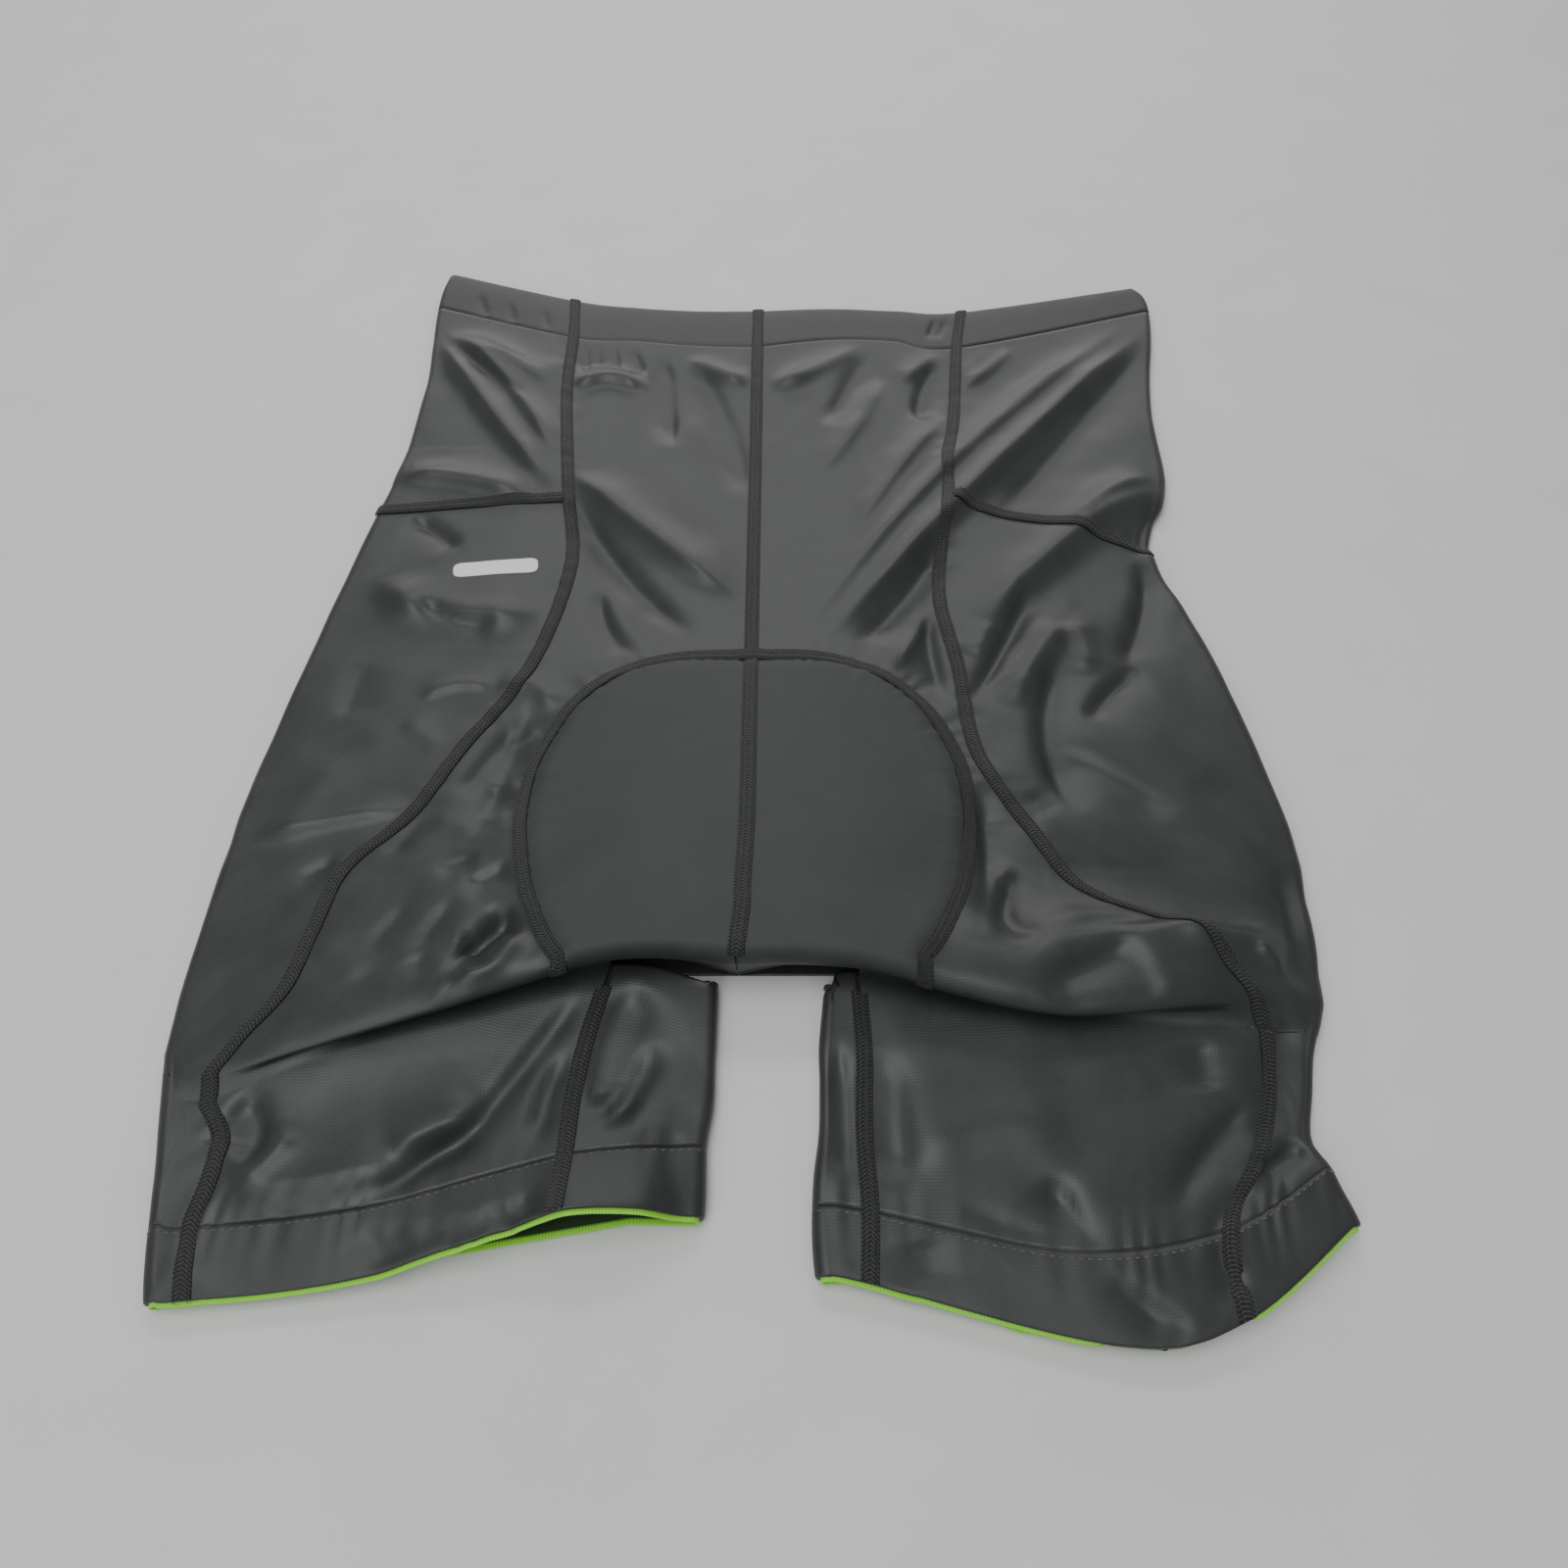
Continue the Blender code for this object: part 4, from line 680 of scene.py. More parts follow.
    def wrap(self, top):
        """Add the rolled edges: the outer one all the way, the inner one beside the leg."""
        seam = self.column[INNER]
        body_end = self.row["turn"] + 1
        facing = np.zeros_like(top)
        facing[:body_end, :seam] = normals_of(top[:body_end])[:, :seam]
        facing[body_end:, :seam] = normals_of(top[body_end:])[:, :seam]
        facing[:, seam:] = normals_of(top[:, seam:])
        if self.mirror:
            facing = -facing
        outer, outer_normals = edge_arc(top[:, -1], self.outward[EDGE])
        inner, inner_normals = edge_arc(top[:, 0], self.outward[CENTRE])
        self.first = len(inner)
        points = np.stack(inner[::-1] + list(np.moveaxis(top, 1, 0)) + outer, axis=1)
        normals = np.stack(inner_normals[::-1] + list(np.moveaxis(facing, 1, 0)) + outer_normals, axis=1)
        return points, normals

    def lower_lines(self):
        """The lower layer on the floor, from the centre or inner wrap to the outer wrap."""
        brow = self.row["brow"]
        out = self.row["out"]
        follow = np.ones(len(self.flat))
        if not self.mirror:
            rows_left = (self.row["hem line"] - np.arange(len(follow))) / ROWS_EACH
            follow = np.clip(rows_left / FOLLOW_ROWS, 0.0, 1.0)
        centre = self.flat[:, CENTRE, :2].copy()
        centre[brow:, 0] = centre[brow, 0]
        inset = centre.copy()
        inset[:, 0] += self.points[out, 0, 0] - centre[out, 0]
        inset[out:] = self.points[out:, 0, :2]
        inset[brow:out, 1] = np.linspace(inset[brow, 1], inset[out, 1], out - brow, endpoint=False)
        side = self.points[:, -1, :2]
        lines = [centre, inset]
        for share in LOWER_SHARES:
            line = inset + (side - inset) * share
            for row, curve in enumerate(self.flat):
                order = np.argsort(curve[:, 0])
                smooth = curve_through(curve[order], np.linspace(CENTRE, EDGE, CURVE_READS))
                wanted = np.interp(line[row, 0], smooth[:, 0], smooth[:, 1])
                line[row, 1] += follow[row] * (wanted - line[row, 1])
            lines.append(line)
        lines.append(side)
        measured = np.stack([np.column_stack([line, np.zeros(len(line))]) for line in lines], axis=1)
        fine = [measured[:, :1]]
        for start, end, count in zip(range(len(lines)), range(1, len(lines)), UNDER_COLUMNS):
            part = (np.arange(count) + 1.0)[None, :, None] / count
            fine.append(measured[:, start:start + 1] * (1 - part) + measured[:, end:end + 1] * part)
        self.inset_column = UNDER_COLUMNS[0]
        return np.concatenate(fine, axis=1)

    def col(self, seam):
        """Grid column of a seam."""
        return self.first + self.column[seam]


def share_centre_normals(left, right):
    """Both halves turn their cloth the same way where they meet at the centre back."""
    rows = slice(0, left.row["turn"] + 1)
    both = left.normals[rows, left.first] + right.normals[rows, right.first]
    both[:, 0] = 0.0
    left.normals[rows, left.first] = unit(both)
    right.normals[rows, right.first] = unit(both)


def pull_in(points, axis, start=True, end=True):
    """Draw a grid's first and last lines in by half the gap that a seam keeps."""
    points = np.moveaxis(points.copy(), axis, 0)
    for here, beside, wanted in ((0, 1, start), (-1, -2, end)):
        if wanted:
            points[here] = points[here] + unit(points[beside] - points[here]) * (SEAM_GAP / 2.0)
    return np.moveaxis(points, 0, axis)


def linear(colour):
    """An sRGB hex colour as linear red, green, blue and alpha."""
    parts = [int(colour[place:place + 2], 16) / 255.0 for place in (1, 3, 5)]
    return (*[p / 12.92 if p <= 0.04045 else ((p + 0.055) / 1.055)**2.4 for p in parts], 1.0)


def add_node(tree, kind, settings=(), links=()):
    """Add a node, set its values by name or place, and link sockets into it."""
    node = tree.nodes.new(kind)
    for key, value in dict(settings).items():
        if isinstance(key, str) and hasattr(node, key):
            setattr(node, key, value)
        else:
            node.inputs[key].default_value = value
    for key, source in dict(links).items():
        tree.links.new(source, node.inputs[key])
    return node


def new_finish(name, settings):
    """A material with its shader's constant values set on the shader."""
    finish = bpy.data.materials.new(name)
    finish.use_nodes = True
    tree = finish.node_tree
    shader = tree.nodes["Principled BSDF"]
    for key, value in settings.items():
        shader.inputs[key].default_value = value
    return finish, tree, shader


def wave_scale(pitch):
    """Scale that gives Blender's wave texture one band each pitch, in millimetres."""
    return 2.0 * math.pi / (20.0 * pitch * MM)


def knit_finish(name, dark, light, roughness):
    """Warp-knit nylon and elastane, with a soft satin sheen on the folds.

    Its courses and wales are more than twice as coarse as in real knit, so that they show."""
    finish, tree, shader = new_finish(name, {
        "Sheen Weight": 0.05, "Sheen Roughness": 0.35, "Sheen Tint": linear("#aab4b4"),
        "Specular IOR Level": 0.55, "IOR": 1.53})
    cut = add_node(tree, "ShaderNodeUVMap", {"uv_map": "cut"})
    over_pad = add_node(tree, "ShaderNodeAttribute", {"attribute_name": "over_pad"})
    blotch = add_node(tree, "ShaderNodeTexNoise",
                      {"Scale": BLOTCHES_PER_METRE, "Detail": 3.0, "Roughness": 0.6},
                      {"Vector": cut.outputs["UV"]})
    grain = add_node(tree, "ShaderNodeTexNoise",
                     {"Scale": GRAINS_PER_METRE, "Detail": 2.0, "Roughness": 0.7},
                     {"Vector": cut.outputs["UV"]})
    both = add_node(tree, "ShaderNodeMath", {"operation": "MULTIPLY_ADD", 1: SLUB},
                    {0: grain.outputs["Fac"], 2: blotch.outputs["Fac"]})
    tone = add_node(tree, "ShaderNodeMapRange", {"From Min": 0.45, "From Max": 1.05},
                    {"Value": both.outputs["Value"]})
    colour = add_node(tree, "ShaderNodeMix", {"data_type": "RGBA"}, {0: tone.outputs["Result"]})
    colour.inputs[6].default_value = linear(dark)
    colour.inputs[7].default_value = linear(light)
    tree.links.new(colour.outputs[2], shader.inputs["Base Color"])
    dull = add_node(tree, "ShaderNodeMapRange", {"To Min": roughness, "To Max": roughness + 0.2},
                    {"Value": over_pad.outputs["Fac"]})
    uneven = add_node(tree, "ShaderNodeMath", {"operation": "MULTIPLY_ADD", 1: 0.14},
                      {0: blotch.outputs["Fac"], 2: dull.outputs["Result"]})
    tree.links.new(uneven.outputs["Value"], shader.inputs["Roughness"])
    courses = add_node(tree, "ShaderNodeTexWave", {"bands_direction": "Y", "Scale": wave_scale(COURSE),
                                                   "Distortion": 0.6, "Detail": 1.0},
                       {"Vector": cut.outputs["UV"]})
    wales = add_node(tree, "ShaderNodeTexWave", {"bands_direction": "X", "Scale": wave_scale(WALE),
                                                 "Distortion": 0.6, "Detail": 1.0},
                     {"Vector": cut.outputs["UV"]})
    loops = add_node(tree, "ShaderNodeMath", {"operation": "MULTIPLY_ADD", 1: 0.45},
                     {0: wales.outputs["Fac"], 2: courses.outputs["Fac"]})
    knit = add_node(tree, "ShaderNodeBump", {"Strength": 0.12, "Distance": 0.00012},
                    {"Height": loops.outputs["Value"]})
    soft = add_node(tree, "ShaderNodeBump", {"Strength": 0.3, "Distance": 0.0006},
                    {"Height": blotch.outputs["Fac"], "Normal": knit.outputs["Normal"]})
    tree.links.new(soft.outputs["Normal"], shader.inputs["Normal"])
    return finish


def thread_finish(name, dark, light):
    """Spun polyester thread: matte, with the faint twist of its plies."""
    finish, tree, shader = new_finish(name, {"Roughness": 0.7, "Sheen Weight": 0.15,
                                             "Sheen Roughness": 0.5, "Specular IOR Level": 0.4})
    place = add_node(tree, "ShaderNodeTexCoord")
    fuzz = add_node(tree, "ShaderNodeTexNoise", {"Scale": 700.0, "Detail": 2.0},
                    {"Vector": place.outputs["Object"]})
    colour = add_node(tree, "ShaderNodeMix", {"data_type": "RGBA"}, {0: fuzz.outputs["Fac"]})
    colour.inputs[6].default_value = linear(dark)
    colour.inputs[7].default_value = linear(light)
    tree.links.new(colour.outputs[2], shader.inputs["Base Color"])
    bump = add_node(tree, "ShaderNodeBump", {"Strength": 0.5, "Distance": 0.0001},
                    {"Height": fuzz.outputs["Fac"]})
    tree.links.new(bump.outputs["Normal"], shader.inputs["Normal"])
    return finish


def seam_finish(name, gap, thread):
    """Flat seam covered by slanting looper threads, drawn coarser than the real 0.6 mm so that they show."""
    finish, tree, shader = new_finish(name, {"Roughness": 0.62, "Sheen Weight": 0.1,
                                             "Sheen Roughness": 0.5, "Specular IOR Level": 0.4})
    cut = add_node(tree, "ShaderNodeUVMap", {"uv_map": "cut"})
    apart = add_node(tree, "ShaderNodeSeparateXYZ", {}, {"Vector": cut.outputs["UV"]})
    sideways = add_node(tree, "ShaderNodeMath", {"operation": "ABSOLUTE"}, {0: apart.outputs["X"]})
    slant = add_node(tree, "ShaderNodeMath", {"operation": "MULTIPLY_ADD", 1: 0.8},
                     {0: sideways.outputs["Value"], 2: apart.outputs["Y"]})
    turns = add_node(tree, "ShaderNodeMath",
                     {"operation": "MULTIPLY", 1: 2.0 * math.pi / (LOOPER_PITCH * MM)},
                     {0: slant.outputs["Value"]})
    wave = add_node(tree, "ShaderNodeMath", {"operation": "SINE"}, {0: turns.outputs["Value"]})
    fuzz = add_node(tree, "ShaderNodeTexNoise", {"Scale": 1100.0, "Detail": 2.0, "Roughness": 0.7},
                    {"Vector": cut.outputs["UV"]})
    uneven = add_node(tree, "ShaderNodeMath", {"operation": "MULTIPLY_ADD", 1: 3.4},
                      {0: fuzz.outputs["Fac"], 2: wave.outputs["Value"]})
    tone = add_node(tree, "ShaderNodeMapRange", {"From Min": 0.9, "From Max": 2.9},
                    {"Value": uneven.outputs["Value"]})
    colour = add_node(tree, "ShaderNodeMix", {"data_type": "RGBA"}, {0: tone.outputs["Result"]})
    colour.inputs[6].default_value = linear(gap)
    colour.inputs[7].default_value = linear(thread)
    tree.links.new(colour.outputs[2], shader.inputs["Base Color"])
    bump = add_node(tree, "ShaderNodeBump", {"Strength": 0.8, "Distance": 0.00035},
                    {"Height": tone.outputs["Result"]})
    tree.links.new(bump.outputs["Normal"], shader.inputs["Normal"])
    return finish


def tape_finish():
    """Lime elastic tape: fine ribs, and inside it a dark zigzag net of printed silicone."""
    finish, tree, shader = new_finish("lime_elastic_tape_with_silicone_net", {
        "Roughness": 0.55, "Sheen Weight": 0.2, "Sheen Roughness": 0.5, "Specular IOR Level": 0.4})
    cut = add_node(tree, "ShaderNodeUVMap", {"uv_map": "cut"})
    inside = add_node(tree, "ShaderNodeAttribute", {"attribute_name": "net"})
    apart = add_node(tree, "ShaderNodeSeparateXYZ", {}, {"Vector": cut.outputs["UV"]})
    swing = add_node(tree, "ShaderNodeMath", {"operation": "PINGPONG", 1: NET_SWING * MM},
                     {0: apart.outputs["X"]})
    shifted = add_node(tree, "ShaderNodeMath", {"operation": "ADD"},
                       {0: apart.outputs["Y"], 1: swing.outputs["Value"]})
    turn = add_node(tree, "ShaderNodeMath", {"operation": "MODULO", 1: NET_PITCH * MM},
                    {0: shifted.outputs["Value"]})
    line = add_node(tree, "ShaderNodeMath", {"operation": "LESS_THAN", 1: NET_LINE * MM},
                    {0: turn.outputs["Value"]})
    net = add_node(tree, "ShaderNodeMath", {"operation": "MULTIPLY"},
                   {0: line.outputs["Value"], 1: inside.outputs["Fac"]})
    ribs = add_node(tree, "ShaderNodeTexWave", {"bands_direction": "X", "Scale": wave_scale(RIB_PITCH)},
                    {"Vector": cut.outputs["UV"]})
    lime = add_node(tree, "ShaderNodeMix", {"data_type": "RGBA"}, {0: ribs.outputs["Fac"]})
    lime.inputs[6].default_value = linear("#86dc2a")
    lime.inputs[7].default_value = linear("#a6f748")
    colour = add_node(tree, "ShaderNodeMix", {"data_type": "RGBA"},
                      {0: net.outputs["Value"], 6: lime.outputs[2]})
    colour.inputs[7].default_value = linear("#1d3a14")
    tree.links.new(colour.outputs[2], shader.inputs["Base Color"])
    bump = add_node(tree, "ShaderNodeBump", {"Strength": 0.4, "Distance": 0.0002},
                    {"Height": ribs.outputs["Fac"]})
    tree.links.new(bump.outputs["Normal"], shader.inputs["Normal"])
    return finish


def speckled_finish(name, dark, light, roughness, grain, depth):
    """A surface with fine specks: brushed foam, pressed reflective film or a painted floor."""
    finish, tree, shader = new_finish(name, {"Roughness": roughness})
    place = add_node(tree, "ShaderNodeTexCoord")
    specks = add_node(tree, "ShaderNodeTexNoise", {"Scale": 1.0 / (grain * MM), "Detail": 3.0},
                      {"Vector": place.outputs["Object"]})
    colour = add_node(tree, "ShaderNodeMix", {"data_type": "RGBA"}, {0: specks.outputs["Fac"]})
    colour.inputs[6].default_value = linear(dark)
    colour.inputs[7].default_value = linear(light)
    tree.links.new(colour.outputs[2], shader.inputs["Base Color"])
    bump = add_node(tree, "ShaderNodeBump", {"Strength": 0.3, "Distance": depth * MM},
                    {"Height": specks.outputs["Fac"]})
    tree.links.new(bump.outputs["Normal"], shader.inputs["Normal"])
    return finish


def cloth_grid(name, points, keep=None, marks=None, merge=False):
    """A sheet through a grid of points in millimetres, of which keep says the cells that stay."""
    rows, columns = points.shape[:2]
    bpy.ops.object.select_all(action="DESELECT")
    bpy.ops.mesh.primitive_grid_add(x_subdivisions=columns - 1, y_subdivisions=rows - 1, size=2.0,
                                    calc_uvs=False)
    piece = bpy.context.object
    piece.name = name
    mesh = piece.data
    mesh.name = name
    place = np.zeros(len(mesh.vertices) * 3)
    mesh.vertices.foreach_get("co", place)
    place = place.reshape(-1, 3)
    column = np.rint((place[:, 0] + 1.0) / 2.0 * (columns - 1)).astype(int)
    row = np.rint((1.0 - place[:, 1]) / 2.0 * (rows - 1)).astype(int)
    mesh.vertices.foreach_set("co", ((points[row, column] + SHIFT) * MM).ravel())
    layer = mesh.uv_layers.new(name="cut")
    corners = np.zeros(len(mesh.loops), int)
    mesh.loops.foreach_get("vertex_index", corners)
    layer.data.foreach_set("uv", (cut_places(points)[row, column][corners] * MM).ravel())
    for mark, values in (marks or {}).items():
        attribute = mesh.attributes.new(mark, "FLOAT", "POINT")
        attribute.data.foreach_set("value", values[row, column].astype(float))
    mesh.polygons.foreach_set("use_smooth", np.ones(len(mesh.polygons), bool))
    mesh.update()
    if keep is not None:
        shape = bmesh.new()
        shape.from_mesh(mesh)
        shape.verts.ensure_lookup_table()
        drop = []
        for face in shape.faces:
            first_row = min(row[corner.index] for corner in face.verts)
            first_column = min(column[corner.index] for corner in face.verts)
            if not keep[first_row, first_column]:
                drop.append(face)
        bmesh.ops.delete(shape, geom=drop, context="FACES")
        shape.to_mesh(mesh)
        shape.free()
    if merge:
        bpy.ops.object.mode_set(mode="EDIT")
        bpy.ops.mesh.select_all(action="SELECT")
        bpy.ops.mesh.remove_doubles(threshold=0.00001)
        bpy.ops.object.mode_set(mode="OBJECT")
    return piece


def give_thickness(piece, thickness):
    """Turn a sheet into a wall that grows inwards from it."""
    bpy.context.view_layer.objects.active = piece
    wall = piece.modifiers.new("wall", "SOLIDIFY")
    wall.thickness = thickness * MM
    wall.offset = -1.0
    wall.use_rim = True
    bpy.ops.object.modifier_apply(modifier=wall.name)


def cut_places(points):
    """Where each grid point lies on the flat cloth, in millimetres along and across."""
    across = lengths(points, axis=1)
    down = lengths(points, axis=0)
    return np.stack([across - across[:, -1:] / 2.0, -down], axis=-1)


def finish_piece(piece, node, finish, replaces=True):
    """Rest a piece on the floor, give it its finish, and set it in the place of its solid."""
    corners = np.empty(3 * len(piece.data.vertices))
    piece.data.vertices.foreach_get("co", corners)
    corners[2::3] = np.maximum(corners[2::3], 0.0)
    piece.data.vertices.foreach_set("co", corners)
    piece.data.update()
    piece.data.materials.clear()
    piece.data.materials.append(finish)
    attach(piece, "root")
    if replaces:
        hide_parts(node)
    return piece


def oriented(half, grid, under=False):
    """The grid with its columns running so that faces look out of the garment, or down under it."""
    return grid if half.mirror != under else grid[:, ::-1]


def knit_sheet(name, grid, dull, keep=None):
    """A sheet of knit through a grid, which is duller where the pad lies under it."""
    piece = cloth_grid(name + "_knit", grid, keep, {"over_pad": dull})
    give_thickness(piece, KNIT_WALL)
    return finish_piece(piece, name, finishes["knit"])


def panel(name, half, rows, columns):
    """A panel of knit cut from one half's grid."""
    grid = pull_in(pull_in(half.points[rows, columns], 0), 1)
    return knit_sheet(name, oriented(half, grid), oriented(half, half.dull[rows, columns]))


def back_panel(side, half):
    """The back, from the waist line round the seat lip to the hem, in one piece."""
    rows = slice(half.row["band line"], half.row["hem line"] + 1)
    columns = slice(half.first, half.col(SIDE) + 1)
    seam = half.column[INNER]
    legs = half.row["turn"] + 1 - rows.start
    keep = np.ones((rows.stop - rows.start, columns.stop - columns.start - 1), bool)
    keep[legs - 1:, :seam] = False
    grid = pull_in(half.points[rows, columns], 0)
    trimmed = pull_in(grid, 1)
    trimmed[legs:, seam] = pull_in(grid[legs:, seam:], 1, end=False)[:, 0]
    return knit_sheet("back_" + side, oriented(half, trimmed), oriented(half, half.dull[rows, columns]),
                      oriented(half, keep))


def front_panel(side, half):
    """The front, flat on the floor between the wrapped side and inner-leg panels."""
    row = half.row
    rows = slice(row["band line"], row["hem line"] + 1)
    grid = pull_in(pull_in(half.lower[rows], 0), 1)
    inset = half.inset_column
    meets_leg = row["out"] - rows.start
    run = grid[meets_leg:, inset + 1] - grid[meets_leg:, inset]
    grid[meets_leg:, inset] += unit(run) * (SEAM_GAP / 2.0)
    keep = np.ones((grid.shape[0], grid.shape[1] - 1), bool)
    keep[row["brow"] - rows.start:, :inset] = False
    return knit_sheet("front_" + side, oriented(half, grid, under=True), np.zeros(grid.shape[:2]),
                      oriented(half, keep, under=True))


def turned_band(node, ring, facing, thick, crown):
    """A band turned double: out over its face, round its fold, and back inside, closed all round.

    ring[0] is the sewn edge and ring[-1] is the fold."""
    rows = len(ring)
    share = np.linspace(0.0, 1.0, rows)[:, None, None]
    face = ring + facing * (crown * np.sin(np.pi * share))
    face[0] -= unit(ring[1] - ring[0]) * SEAM_GAP
    run = unit(ring[-1] - ring[-2])
    half = thick / 2.0
    section = [face[number] for number in range(rows - 1)]
    for angle in np.radians(np.linspace(0.0, 180.0, TURN_STEPS)):
        section.append(ring[-1] - run * half + run * half * math.sin(angle)
                       - facing[-1] * (half - half * math.cos(angle)))
    section += [ring[number] - facing[number] * thick for number in range(rows - 2, -1, -1)]
    section.append(section[0])
    grid = np.stack(section)
    grid = np.concatenate([grid, grid[:, :1]], axis=1)
    piece = cloth_grid(node + "_knit", grid, marks={"over_pad": np.zeros(grid.shape[:2])}, merge=True)
    finish_piece(piece, node, finishes["band"])
    face_outwards(piece)
    return piece


def face_outwards(piece):
    """Turn a closed piece's faces outwards."""
    bpy.ops.object.select_all(action="DESELECT")
    piece.select_set(True)
    bpy.context.view_layer.objects.active = piece
    bpy.ops.object.mode_set(mode="EDIT")
    bpy.ops.mesh.select_all(action="SELECT")
    bpy.ops.mesh.normals_make_consistent(inside=False)
    bpy.ops.object.mode_set(mode="OBJECT")


def down_facing(grid):
    """Directions for points that lie on the floor."""
    return np.zeros_like(grid) + (0.0, 0.0, -1.0)


def waist_ring(left, right):
    """The waistband's outer grid, from its sewn edge to its fold, all the way round."""
    rows = slice(left.row["waist"], left.row["band line"] + 1)
    under = np.concatenate([left.lower[rows, -2:0:-1], right.lower[rows, :-1]], axis=1)
    ring = [left.points[rows, left.first:], under, right.points[rows, :right.first:-1]]
    facing = [left.normals[rows, left.first:], down_facing(under), right.normals[rows, :right.first:-1]]
    ring = pull_in(np.concatenate(ring, axis=1), 0, False, True)
    return ring[::-1], np.concatenate(facing, axis=1)[::-1]


def hem_ring(half):
    """A leg hem's outer grid, from its sewn edge to its fold, all the way round."""
    rows = slice(half.row["hem line"], half.row["hem"] + 1)
    under = half.lower[rows, -2:half.inset_column:-1]
    ring = pull_in(np.concatenate([half.points[rows], under], axis=1), 0, True, False)
    return ring, np.concatenate([half.normals[rows], down_facing(under)], axis=1)


def tape_shows(x):
    """How far the tape stands out of a hem: nowhere where the right hem curls under."""
    hidden = np.clip((x - CURL_FROM) / CURL_RUN, 0.0, 1.0) * np.clip((CURL_TO - x) / CURL_RUN, 0.0, 1.0)
    return TAPE_SHOWS - (TAPE_SHOWS + TAPE_HIDES) * hidden


def gripper_tape(side, ring, facing):
    """Elastic tape inside the hem; its edge stands out of the fold, and its inner face has the net."""
    depth = HEM_WALL + TAPE_GAP
    beyond = ring[-1] + unit(ring[-1] - ring[-2]) * tape_shows(ring[-1, :, 0])[:, None]
    begin = int(round(TAPE_START * (len(ring) - 1)))
    tape = np.stack(list(ring[begin:]) + [ring[-1] * 0.4 + beyond * 0.6, beyond])
    turned = np.concatenate([facing[begin:], facing[-1:], facing[-1:]])
    outer = tape - turned * depth
    inner = tape - turned * (depth + TAPE_WALL)
    section = np.concatenate([outer, inner[::-1], outer[:1]])
    section = np.concatenate([section, section[:, :1]], axis=1)
    net = np.zeros(section.shape[:2])
    net[len(outer) + TAPE_EDGE_ROWS:-1] = 1.0
    piece = cloth_grid("gripper_" + side + "_tape", section, marks={"net": net}, merge=True)
    face_outwards(piece)
    return finish_piece(piece, "gripper_" + side, finishes["tape"])


def seam_frame(points, beside, normals):
    """Places, ways across and ways out along a seam, evenly spaced along it."""
    along = lengths(points)
    count = max(int(along[-1] / SEAM_STEP), 2)
    even = np.linspace(0.0, along[-1], count + 1)
    place, across, out = [read_along(even, along, values) for values in (points, unit(beside), normals)]
    return place, unit(across), unit(out)


def seam_band(node, place, across, out, lift):
    """The flat band of a cover-stitched seam, crowned a little over the two cloth edges."""
    offsets = np.linspace(-BAND_WIDTH / 2.0, BAND_WIDTH / 2.0, BAND_COLUMNS)
    groove = np.exp(-((np.abs(offsets) - NEEDLE_ROW) / NEEDLE_GROOVE_WIDTH)**2)
    middle = np.exp(-(offsets / MIDDLE_GROOVE_WIDTH)**2)
    edge = np.abs(2.0 * offsets / BAND_WIDTH)**BAND_EDGE_POWER
    crown = BAND_CROWN - NEEDLE_GROOVE * groove - MIDDLE_GROOVE * middle - BAND_EDGE_DROP * edge
    grid = (place[:, None] + across[:, None] * offsets[None, :, None]
            + out[:, None] * (crown + lift)[None, :, None])
    facing = np.cross(grid[1, 0] - grid[0, 0], grid[0, 1] - grid[0, 0])
    if np.dot(facing, out[0]) > 0:
        grid = grid[:, ::-1]
    piece = cloth_grid(node + "_band", grid)
    give_thickness(piece, BAND_WALL)
    return finish_piece(piece, node, finishes["seam"])


def one_stitch():
    """One short stitch of thread, lying along X."""
    bpy.ops.object.select_all(action="DESELECT")
    bpy.ops.mesh.primitive_uv_sphere_add(segments=6, ring_count=4, radius=0.5)
    bpy.ops.object.mode_set(mode="EDIT")
    bpy.ops.transform.rotate(value=math.pi / 2.0, orient_axis="Y", center_override=(0.0, 0.0, 0.0))
    bpy.ops.transform.resize(value=(STITCH_LENGTH, STITCH_WIDTH, 2.0 * THREAD_RADIUS))
    bpy.ops.object.mode_set(mode="OBJECT")
    stitch = bpy.context.object
    corners = np.array([corner.co[:] for corner in stitch.data.vertices])
    faces = [tuple(face.vertices) for face in stitch.data.polygons]
    bpy.data.objects.remove(stitch, do_unlink=True)
    return corners, faces


def stitch_rows(name, node, place, across, out, rows, height, pitch):
    """Needle stitches along a seam: rows gives how far each row lies from its middle."""
    corners, faces = one_stitch_shape
    along = lengths(place)
    even = np.arange(pitch / 2.0, along[-1], pitch)
    tangent = unit(read_along(even, along, np.gradient(place, axis=0)))
    centre, way, up = [read_along(even, along, values) for values in (place, across, out)]
    points = []
    polygons = []
    for offset in rows:
        for number in range(len(even)):
            start = len(points)
            middle = centre[number] + way[number] * offset + up[number] * height
            spot = (middle + corners[:, :1] * tangent[number] + corners[:, 1:2] * way[number]
                    + corners[:, 2:3] * up[number])
            points += spot.tolist()
            polygons += [tuple(corner + start for corner in face) for face in faces]
    mesh = bpy.data.meshes.new(name)
    mesh.from_pydata(((np.array(points) + SHIFT) * MM).tolist(), [], polygons)
    mesh.polygons.foreach_set("use_smooth", np.ones(len(mesh.polygons), bool))
    piece = bpy.data.objects.new(name, mesh)
    scene.collection.objects.link(piece)
    face_outwards(piece)
    return finish_piece(piece, node, finishes["thread"], replaces=False)


